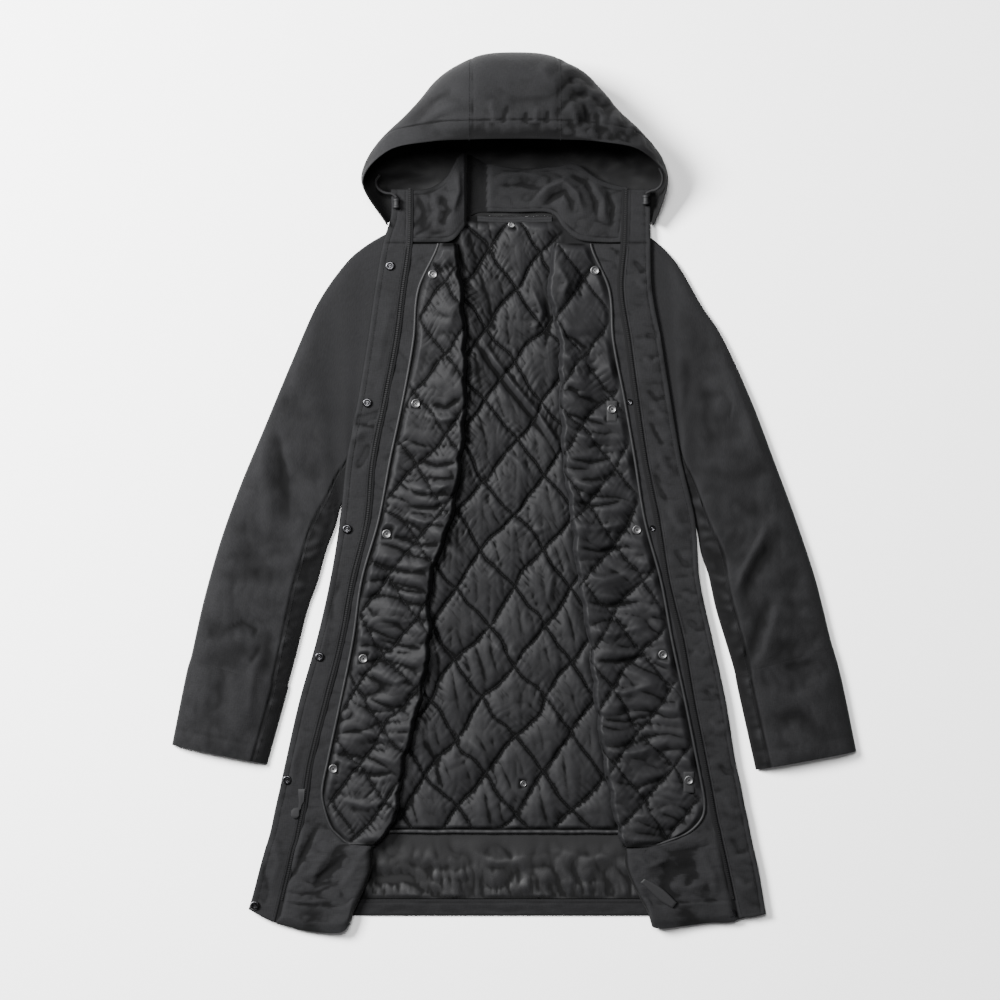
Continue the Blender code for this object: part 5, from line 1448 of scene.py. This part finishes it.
def linings():
    look = bpy.context.scene.coat_look
    # The back lining, gathered into the hem's facing.
    ys = np.concatenate([[340], np.arange(330, -398, -26.0), np.arange(-400, -499, -1.6),
                         [LINING_END_Y]])
    right, left = RIGHT.at("seam", ys) - 18, LEFT.at("seam", ys) - 18
    right, left = np.where(ys > 300, 110, right), np.where(ys > 300, 116, left)
    x, y = between(ys, -right, left, LINING_COLUMNS)
    full = ease((-400 - y) / 70)
    end = ease((y + 499.9) / 5)
    gather = uneven(x + 0.18 * (y + 499), y, 6.5, 26, 101) + 0.5 * uneven(x, y, 3.6, 14, 102)
    near_hem = np.exp(-np.abs(y + 497) / 20)
    z = 1.4 * gather * near_hem + 2.6 * uneven(x, y, 34, 30, 103) * full
    z += 1.3 * creased(x, y, 30, 34, 104) * full + 0.2 * creased(x, y, 12, 16, 105) * full
    z += folded(x, y, (Fold(((-60, -440), (-20, -456), (30, -446)), 10, 1.6, 0.3),
                       Fold(((40, -436), (90, -452), (130, -444)), 9, 1.3, 0.2),
                       Fold(((-140, -452), (-110, -464), (-70, -460)), 8, -1.2),
                       Fold(((-110, -436), (-96, -462), (-100, -488)), 7, 1.2),
                       Fold(((8, -452), (16, -474), (12, -494)), 6, 1.2),
                       Fold(((70, -456), (78, -478), (72, -494)), 6, -1.0)),
                look.fold_strength) * full
    top = np.stack([x, y, 2.9 + np.maximum(z + 1.8 * full, -0.5) * full * end], -1)
    low = level(x, y, BACK_LINING_FOOT)
    # Painted shade: the whole piece drawn darker, besides the shade in its hollows.
    obj = sheet_between("body_lining", top, low, finish_of("lining"), flat_under=True, shade=0.4)
    cloth(obj, "lining", ("lining_back",), *cut_area(ys, right + left))

    ys = np.linspace(HEM_FACING_Y, BACK_HEM_Y + 0.5, 16)
    right, left = RIGHT.at("seam", ys) - 22, LEFT.at("seam", ys) - 22
    x, y = between(ys, -right, left, TURNING_COLUMNS)
    near = np.minimum(ys[0] - y, y - ys[-1])
    z = 3.0 + 0.5 * ease(near / 2.5) + 0.35 * uneven(x, y, 22, 9, 106) * ease(near / 4)
    z -= 0.5 * bell(y + 504.5, 0.9)
    top, low = np.stack([x, y, z], -1), level(x, y, BACK_LINING_FOOT)
    # Painted shade: the whole piece drawn darker, besides the shade in its hollows.
    obj = sheet_between("hem_turning", top, low, finish_of("shell"), flat_under=True, shade=0.35)
    cloth(obj, "shell", ("hem_facing",), *cut_area(ys, right + left))

    for side in FRONTS:
        seed = 111 if side is RIGHT else 121
        ys = np.concatenate([np.arange(FRONT_TOP_Y, -424, -3.0), np.arange(-425, -438, -0.8),
                             np.arange(-439, BACK_HEM_Y, -1.5), [BACK_HEM_Y]])
        low = side.liner_end - 1.5
        beside = side.at("liner", np.maximum(ys, low)) + 1.2
        turn = ease((low + 3 - ys) / 4)
        inner = beside + (side.at("fold", ys) + 1 - beside) * turn
        zip_line = side.at("zip", ys) - GAP
        out, y = between(ys, inner, zip_line, FACING_COLUMNS)
        place = side.place(out, y, np.zeros(out.shape))
        px, py = place[..., 0], place[..., 1]
        past = out - side.at("fold", y)
        near = np.minimum(np.minimum(out - inner[:, None], zip_line[:, None] - out),
                          np.minimum(ys[0] - y, y - ys[-1]))
        wide = (zip_line - inner)[:, None]
        lower = ease((low + 2 - y) / 8)
        z = 1.2 + 0.7 * roll(past + 1) * lower
        bump = folded(px, py, FRONT_LINING_FOLDS[side.tag], look.fold_strength)
        bump += 1.2 * uneven(px, py, 36, 26, seed) + 0.7 * creased(px, py, 30, 20, seed + 1)
        bump += 0.25 * creased(px, py, 12, 7, seed + 2)
        hem = y - BACK_HEM_Y
        bump -= 0.8 * bell(hem - 24, 1.2)
        bump *= np.where(hem < 22, 0.6, 1.0) * np.clip(wide / 50, 0.35, 1)
        bump += 3.4 * ease((-404 - y) / 30)
        z = z + bump * ease(near / np.clip(wide / 6, 1.5, 9)) + 0.5 * ease(near / 1.5) - 0.5
        top = side.place(out, y, LAID + np.maximum(z, 0.5))
        base = side.place(out, y, np.full(out.shape, LAID))
        obj = sheet_between(f"front_facing_{side.tag}", top, base, finish_of("shell"),
                            flat_under=True)
        cloth(obj, "lining", (f"facing_{side.tag}", f"front_lining_{side.tag}"),
              *cut_area(ys, zip_line - inner))


# ---- Fastenings

Spot = namedtuple("Spot", "node x y")
SNAPS = (
    Spot("strip_snap_1", -154, 283), Spot("strip_snap_2", -182, 114),
    Spot("strip_snap_3", -207, -42), Spot("strip_snap_4", -241, -200),
    Spot("strip_snap_5", -281, -352), Spot("strip_snap_6", -321, -507),
    Spot("facing_snap_1", 142, 115), Spot("facing_snap_2", 170, -41), Spot("hem_snap", 268, -517),
)
BUTTONS = (
    Spot("liner_button_r1", -101, 272), Spot("liner_button_r2", -122, 113),
    Spot("liner_button_r3", -158, -48), Spot("liner_button_r4", -187, -202),
    Spot("liner_button_r5", -224, -338), Spot("liner_button_l1", 99, 277),
    Spot("liner_button_l2", 120, 106), Spot("liner_button_l3", 151, -43),
    Spot("liner_button_l4", 183, -197), Spot("liner_button_l5", 215, -352),
    Spot("back_button_1", -4, 334), Spot("back_button_2", 11, -357),
)
TABS = (Spot("button_tab_l2", 120, 106), Spot("button_tab_l5", 215, -352))


# Half sections from the rim's foot up and in to the middle: (radius, height). They are drawn
# for pieces of DRAWN_R and narrowed for the small ones.
DRAWN_R, SMALL_SNAP_R, SMALL_BUTTON_R = 5.5, 3.6, 4.0
SNAP_PROFILE = ((5.2, 0.0), (5.6, 0.5), (5.6, 1.1), (5.2, 1.7), (4.4, 2.1), (3.6, 2.0),
                (3.1, 1.5), (2.9, 0.7), (2.3, 0.6), (2.0, 1.0), (1.5, 1.05), (1.2, 0.6),
                (0.6, 0.5))
BUTTON_PROFILE = ((4.6, 0.0), (5.4, 0.6), (5.6, 1.2), (5.2, 1.8), (4.6, 2.0), (4.0, 1.8),
                  (3.4, 1.35), (2.0, 1.25), (0.5, 1.25))


def foot_of(node):
    """Height of a solid's underside in millimetres."""
    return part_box(node)[0][2] / MM


def turned(name, profile, spot, size, material):
    """A turned piece that stands where its solid does."""
    angle, z = np.linspace(0, 2 * np.pi, 36, endpoint=False), foot_of(spot.node)
    rings = [level(spot.x + r * size * np.cos(angle), spot.y + r * size * np.sin(angle), z + h)
             for r, h in profile]
    return ringed(name, rings, material)


def snap(spot, radius):
    """A press-stud socket: a rolled rim round a sunk middle with its spring ring."""
    obj = turned(spot.node + "_stud", SNAP_PROFILE, spot, radius / DRAWN_R, finish_of("nickel"))
    return worn(obj, "metal", spot.node)


def button(spot, radius):
    """A four-hole button with a rolled rim. Gives the crossed threads that sew it on."""
    r = radius / DRAWN_R
    obj = turned(spot.node + "_face", BUTTON_PROFILE, spot, r, finish_of("resin"))
    worn(obj, "button", spot.node)
    d, high = 1.25 * r, foot_of(spot.node) + 1.45
    return [[(spot.x - d, spot.y - d, high), (spot.x, spot.y, high + 0.35),
             (spot.x + d, spot.y + d, high)],
            [(spot.x - d, spot.y + d, high), (spot.x, spot.y, high + 0.5),
             (spot.x + d, spot.y - d, high)]]


def small_cloth(node, outline_x, outline_y, thick, slot, finish, size):
    """A small flat cloth piece over its solid, from two edges of points."""
    z, rows = foot_of(node), []
    for x, y in zip(outline_x, outline_y):
        rows.append(np.stack([np.linspace(x[0], x[1], 9), np.linspace(y[0], y[1], 9)], -1))
    flat = np.stack(rows)
    near = np.minimum(np.arange(9), 8 - np.arange(9))[None, :] / 4
    ends = np.minimum(np.arange(len(flat)), len(flat) - 1 - np.arange(len(flat)))[:, None]
    soft = 0.5 + 0.5 * rounded(np.minimum(near * 3, ends * 0.6), 1)
    top = np.concatenate([flat, (z + thick * soft)[..., None]], -1)
    low = np.concatenate([flat, np.full(soft.shape, z)[..., None]], -1)
    obj = sheet_between(node + "_cloth", top, low, finish_of(finish), flat_under=True)
    return cloth(obj, slot, (node,), *size)


def fastenings():
    for spot in SNAPS:
        snap(spot, SMALL_SNAP_R if spot.node.startswith("facing") else DRAWN_R)
    crossed = []
    for spot in BUTTONS:
        crossed += button(spot, SMALL_BUTTON_R if spot.node.startswith("back") else DRAWN_R)
    look = bpy.context.scene.coat_look
    worn(row_of("button_threads", crossed, 0.8, 0.9, look.thread_width / MM,
                look.thread_width / MM, finish_of("thread")), "button")
    for spot in TABS:
        (x0, y0, _), (x1, y1, _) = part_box(spot.node)
        ys = np.linspace(y0, y1, 20) / MM
        xs = [(x0 / MM, x1 / MM)] * 20
        small_cloth(spot.node, xs, [(y, y) for y in ys], 1.0, "quilt", "binding", (13, 26, 1.0))


# ---- Cords, slider and tabs

SLIDER_PULL = ((-259, -364), (-260, -378), (-263, -383), (-263.5, -387), (-266, -390),
               (-266, -396), (-269, -399), (-273, -399), (-276, -396), (-276, -390),
               (-273, -387), (-267, -386), (-266, -378), (-267, -364))


SLIDER_LAYERS = ((1.0, 0.0), (1.04, 0.5), (1.04, 1.5), (0.96, 2.1), (0.8, 2.25))

# The hem tab and its light pull: two edges, rows between them, thickness and cut.
Strap = namedtuple("Strap", "node left right rows thick finish size")
STRAPS = (
    Strap("hem_tab", ((153, -438), (157, -460), (157, -474), (173, -487)),
          ((162, -438), (163, -455), (165, -464), (179, -482)), 24, 1.2, "shell", (10, 52, 0.8)),
    Strap("hem_pull", ((155, -478), (166, -488), (180, -501), (195, -509.5)),
          ((160, -473), (172, -479), (185, -488), (200, -503)), 26, 1.4, "binding",
          (10, 54, 0.85)),
)

# Sections along a barrel lock: how far along, and their share of its radius.
LOCK_R = 4.5
LOCK_SECTIONS = ((0.0, 0.55), (-0.5, 0.85), (-1.4, 1.0), (-3.4, 1.0), (-4.0, 0.86),
                 (-7.0, 0.84), (-9.2, 0.86), (-9.8, 1.0), (-11.6, 1.0), (-12.5, 0.85),
                 (-13.0, 0.55))


def trims():
    # Zip slider: a flat pull on a body that stands over the teeth.
    z = foot_of("zip_slider_r")
    outline = np.array(SLIDER_PULL, float)
    middle = outline.mean(0)
    rings = []
    for share, high in SLIDER_LAYERS:
        ring = middle + (outline - middle) * share
        rings.append(np.concatenate([ring, np.full((len(ring), 1), z + high)], 1))
    worn(ringed("zip_slider", rings, finish_of("acetal")), "metal", "zip_slider_r")

    for strap in STRAPS:
        left, right = (through(np.array(edge), np.linspace(0, 3, strap.rows))
                       for edge in (strap.left, strap.right))
        small_cloth(strap.node, list(zip(left[:, 0], right[:, 0])),
                    list(zip(left[:, 1], right[:, 1])), strap.thick, strap.finish, strap.finish,
                    strap.size)

    for tag, path in CORDS.items():
        end = path[-1]
        angle = np.linspace(0, 2 * np.pi, 28, endpoint=False)
        rings = [np.stack([end[0] + LOCK_R * share * np.cos(angle),
                           np.full(len(angle), end[1] - 1.2 + along),
                           end[2] + LOCK_R * share * np.sin(angle)], -1)
                 for along, share in LOCK_SECTIONS]
        lock = ringed(f"cord_lock_{tag}", rings, finish_of("acetal"))
        worn(lock, "button", f"hood_lock_{tag}")
        curve = bpy.data.curves.new(f"draw_cord_{tag}", "CURVE")
        curve.dimensions = "3D"
        curve.bevel_depth = CORD_R * MM
        curve.bevel_resolution = 4
        curve.use_fill_caps = True
        fine = through(np.array(path), np.linspace(0, len(path) - 1, 31)) * MM
        line = curve.splines.new("POLY")
        line.points.add(len(fine) - 1)
        for point, at in zip(line.points, fine):
            point.co = (*at, 1)
        curve.materials.append(finish_of("cord"))
        cord = worn(new_object(f"draw_cord_{tag}", curve), "cord", f"hood_cord_{tag}")


# ---- Topstitching

def topstitching(strips, sleeve_parts, hood_obj):
    for side in FRONTS:
        tree = surface(strips[side.tag])
        ys = np.arange(374, BACK_HEM_Y + 4, -3.0)
        lines = []
        for name, shift in (("zip", SEAM_TO_STITCH), ("edge", -7.0)):
            flat = side.place(side.at(name, ys) + shift, ys, ys * 0)
            lines.append(laid_on(tree, flat[:, :2], STITCH_LIFT))
        stitches(f"band_stitching_{side.tag}", lines, "shell")
    for tag, sections in (("r", RIGHT_SLEEVE), ("l", LEFT_SLEEVE)):
        tree = surface(sleeve_parts[f"sleeve_{tag}"], sleeve_parts[f"cuff_{tag}"])
        parts = through(np.array(sections), np.linspace(0.6, 10.9, 240))
        width = np.hypot(parts[:, 2] - parts[:, 0], parts[:, 3] - parts[:, 1])
        share = (width - parts[:, 5] + SEAM_TO_STITCH) / width
        flat = parts[:, :2] + (parts[:, 2:4] - parts[:, :2]) * share[:, None]
        stitches(f"sleeve_stitching_{tag}", [laid_on(tree, flat, STITCH_LIFT)], "shell")
    tree = surface(hood_obj)
    grid = hood_grid(np.linspace(0, 4.2, 120), np.array([4.0 - 0.06, 6.0 + 0.06]))
    lines = [laid_on(tree, grid[:, k, :2], STITCH_LIFT) for k in (0, 1)]
    stitches("hood_stitching", lines, "shell")


# ---- Stage

FLOOR_HALF, FLOOR_Z = 4, -0.0006        # metres
CAMERA_PLACE = (-0.018, -0.0062, 3.444)  # metres, straight above the coat
Lamp = namedtuple("Lamp", "name place size share")
LAMPS = (Lamp("key", (-2.0, 1.05, 2.05), 1.1, 0.53), Lamp("top", (-0.3, 1.0, 3.4), 1.1, 0.14))


def stage_and_camera():
    look = bpy.context.scene.coat_look
    mesh = bpy.data.meshes.new("floor")
    mesh.from_pydata([(FLOOR_HALF * x, FLOOR_HALF * y, FLOOR_Z)
                      for x, y in ((-1, -1), (1, -1), (1, 1), (-1, 1))], [], [(0, 1, 2, 3)])
    floor = new_object("floor", mesh)
    material, tree, base = blank("floor_matte_paper", Roughness=0.9)
    place = add(tree, "ShaderNodeTexCoord").outputs["Object"]
    fibre = add(tree, "ShaderNodeTexNoise", {"Vector": place, "Scale": 40.0}).outputs[0]
    tinted(tree, base, linear("f4f4f4"), fibre, 0.985, 1.0)
    mesh.materials.append(material)

    world = bpy.data.worlds.new("studio")
    world.use_nodes = True
    world.node_tree.nodes["Background"].inputs[0].default_value = (1, 1, 1, 1)
    world.node_tree.nodes["Background"].inputs[1].default_value = look.fill_light
    bpy.context.scene.world = world
    for name, place, size, share in LAMPS:
        light = bpy.data.lights.new(name, "AREA")
        light.shape, light.size, light.energy = "SQUARE", size, look.key_light * share
        lamp = new_object(name, light)
        lamp.location = place
        lamp.rotation_euler = (-Vector(place)).to_track_quat("-Z", "Y").to_euler()

    camera = bpy.data.cameras.new("camera")
    camera.lens, camera.sensor_width = 100, 36
    eye = new_object("camera", camera)
    eye.location = CAMERA_PLACE
    bpy.context.scene.camera = eye


# ---- The add-on

class CoatLook(bpy.types.PropertyGroup):
    """Colours and sizes that change the coat's look."""

    shell: FloatVectorProperty(name="Shell", description="Colour of the shell cloth",
                               default=linear("121213"), subtype="COLOR", min=0, max=1)
    lining: FloatVectorProperty(name="Lining", description="Colour of the lining and facings",
                                default=linear("0e0e0f"), subtype="COLOR", min=0, max=1)
    satin: FloatVectorProperty(name="Quilt", description="Colour of the quilted satin",
                               default=linear("131314"), subtype="COLOR", min=0, max=1)
    binding: FloatVectorProperty(name="Binding", description="Colour of piping and bindings",
                                 default=linear("151516"), subtype="COLOR", min=0, max=1)
    thread: FloatVectorProperty(name="Thread", description="Colour of the sewing thread",
                                default=linear("0e0e0f"), subtype="COLOR", min=0, max=1)
    button: FloatVectorProperty(name="Buttons", description="Colour of the resin buttons",
                                default=linear("1b1b1c"), subtype="COLOR", min=0, max=1)
    puff: FloatProperty(name="Padding", description="Height of a quilted diamond over its seams",
                        default=0.0056, min=0.0, max=0.008, unit="LENGTH")
    pucker: FloatProperty(name="Puckers", description="Height of the gathers at a quilting seam",
                          default=0.0008, min=0.0, max=0.002, unit="LENGTH")
    fold_strength: FloatProperty(name="Folds", description="How deep the cloth's folds are",
                                 default=1.45, min=0.0, max=2.0)
    stitch_pitch: FloatProperty(name="Stitch pitch", description="From one stitch to the next",
                                default=0.0042, min=0.002, max=0.01, unit="LENGTH")
    stitch_length: FloatProperty(name="Stitch length", description="Thread that shows in a stitch",
                                 default=0.0030, min=0.001, max=0.008, unit="LENGTH")
    thread_width: FloatProperty(name="Thread width", description="Thickness of the thread",
                                default=0.0006, min=0.0002, max=0.0015, unit="LENGTH")
    key_light: FloatProperty(name="Key light", description="Strength of the main soft light",
                             default=980.0, min=0.0, max=4000.0)
    fill_light: FloatProperty(name="Fill light", description="Strength of the light all round",
                              default=0.18, min=0.0, max=4.0)


BUILT = {}


class COAT_OT_shell(bpy.types.Operator):
    """Build the back panel and the two turned-back fronts"""
    bl_idname = "coat.shell"
    bl_label = "Shell panels"

    def execute(self, context):
        back_panel()
        for side in FRONTS:
            turned_front(side)
        return {"FINISHED"}


class COAT_OT_sleeves(bpy.types.Operator):
    """Build both sleeves with their cuffs"""
    bl_idname = "coat.sleeves"
    bl_label = "Sleeves and cuffs"

    def execute(self, context):
        BUILT["sleeves"] = sleeves()
        return {"FINISHED"}


class COAT_OT_hood(bpy.types.Operator):
    """Build the hood and the stand collar"""
    bl_idname = "coat.hood"
    bl_label = "Hood and collar"

    def execute(self, context):
        BUILT["hood"] = hood()
        collar()
        return {"FINISHED"}


class COAT_OT_liner(bpy.types.Operator):
    """Build the quilted liner with its piping, bindings and quilting stitches"""
    bl_idname = "coat.liner"
    bl_label = "Quilted liner"

    def execute(self, context):
        liner_back()
        for side in FRONTS:
            liner_front(side)
        edgings()
        return {"FINISHED"}


class COAT_OT_linings(bpy.types.Operator):
    """Build the back lining, the turned-up hem and the facings of both fronts"""
    bl_idname = "coat.linings"
    bl_label = "Linings"

    def execute(self, context):
        linings()
        return {"FINISHED"}


class COAT_OT_bands(bpy.types.Operator):
    """Build the snap strip, the placket and the zip"""
    bl_idname = "coat.bands"
    bl_label = "Front bands and zip"

    def execute(self, context):
        BUILT["bands"] = bands()
        return {"FINISHED"}


class COAT_OT_fastenings(bpy.types.Operator):
    """Build the snaps, the buttons and their tabs"""
    bl_idname = "coat.fastenings"
    bl_label = "Snaps and buttons"

    def execute(self, context):
        fastenings()
        return {"FINISHED"}


class COAT_OT_trims(bpy.types.Operator):
    """Build the hood cords with their locks, the zip slider and the hem tab"""
    bl_idname = "coat.trims"
    bl_label = "Cords and small trims"

    def execute(self, context):
        trims()
        return {"FINISHED"}


class COAT_OT_topstitching(bpy.types.Operator):
    """Sew the topstitching along the bands, sleeves and hood"""
    bl_idname = "coat.topstitching"
    bl_label = "Topstitching"

    def execute(self, context):
        topstitching(BUILT["bands"], BUILT["sleeves"], BUILT["hood"])
        return {"FINISHED"}


class COAT_OT_stage(bpy.types.Operator):
    """Set up the floor, the light and the camera"""
    bl_idname = "coat.stage"
    bl_label = "Stage and camera"

    def execute(self, context):
        stage_and_camera()
        return {"FINISHED"}


OPERATORS = (COAT_OT_stage, COAT_OT_trims, COAT_OT_shell, COAT_OT_sleeves, COAT_OT_hood,
             COAT_OT_linings, COAT_OT_bands, COAT_OT_liner, COAT_OT_fastenings,
             COAT_OT_topstitching)


class COAT_PT_panel(bpy.types.Panel):
    """The coat's settings and the steps that build it"""
    bl_idname = "COAT_PT_panel"
    bl_label = "Coat"
    bl_space_type = "VIEW_3D"
    bl_region_type = "UI"
    bl_category = "Coat"

    def draw(self, context):
        for name in CoatLook.__annotations__:
            self.layout.prop(context.scene.coat_look, name)
        for operator in OPERATORS:
            self.layout.operator(operator.bl_idname)


CLASSES = (CoatLook, *OPERATORS, COAT_PT_panel)


def register():
    for cls in CLASSES:
        bpy.utils.register_class(cls)
    bpy.types.Scene.coat_look = PointerProperty(type=CoatLook)


def unregister():
    del bpy.types.Scene.coat_look
    for cls in reversed(CLASSES):
        bpy.utils.unregister_class(cls)


def main():
    register()
    for operator in OPERATORS:
        group, name = operator.bl_idname.split(".")
        getattr(getattr(bpy.ops, group), name)()


if __name__ == "__main__":
    main()
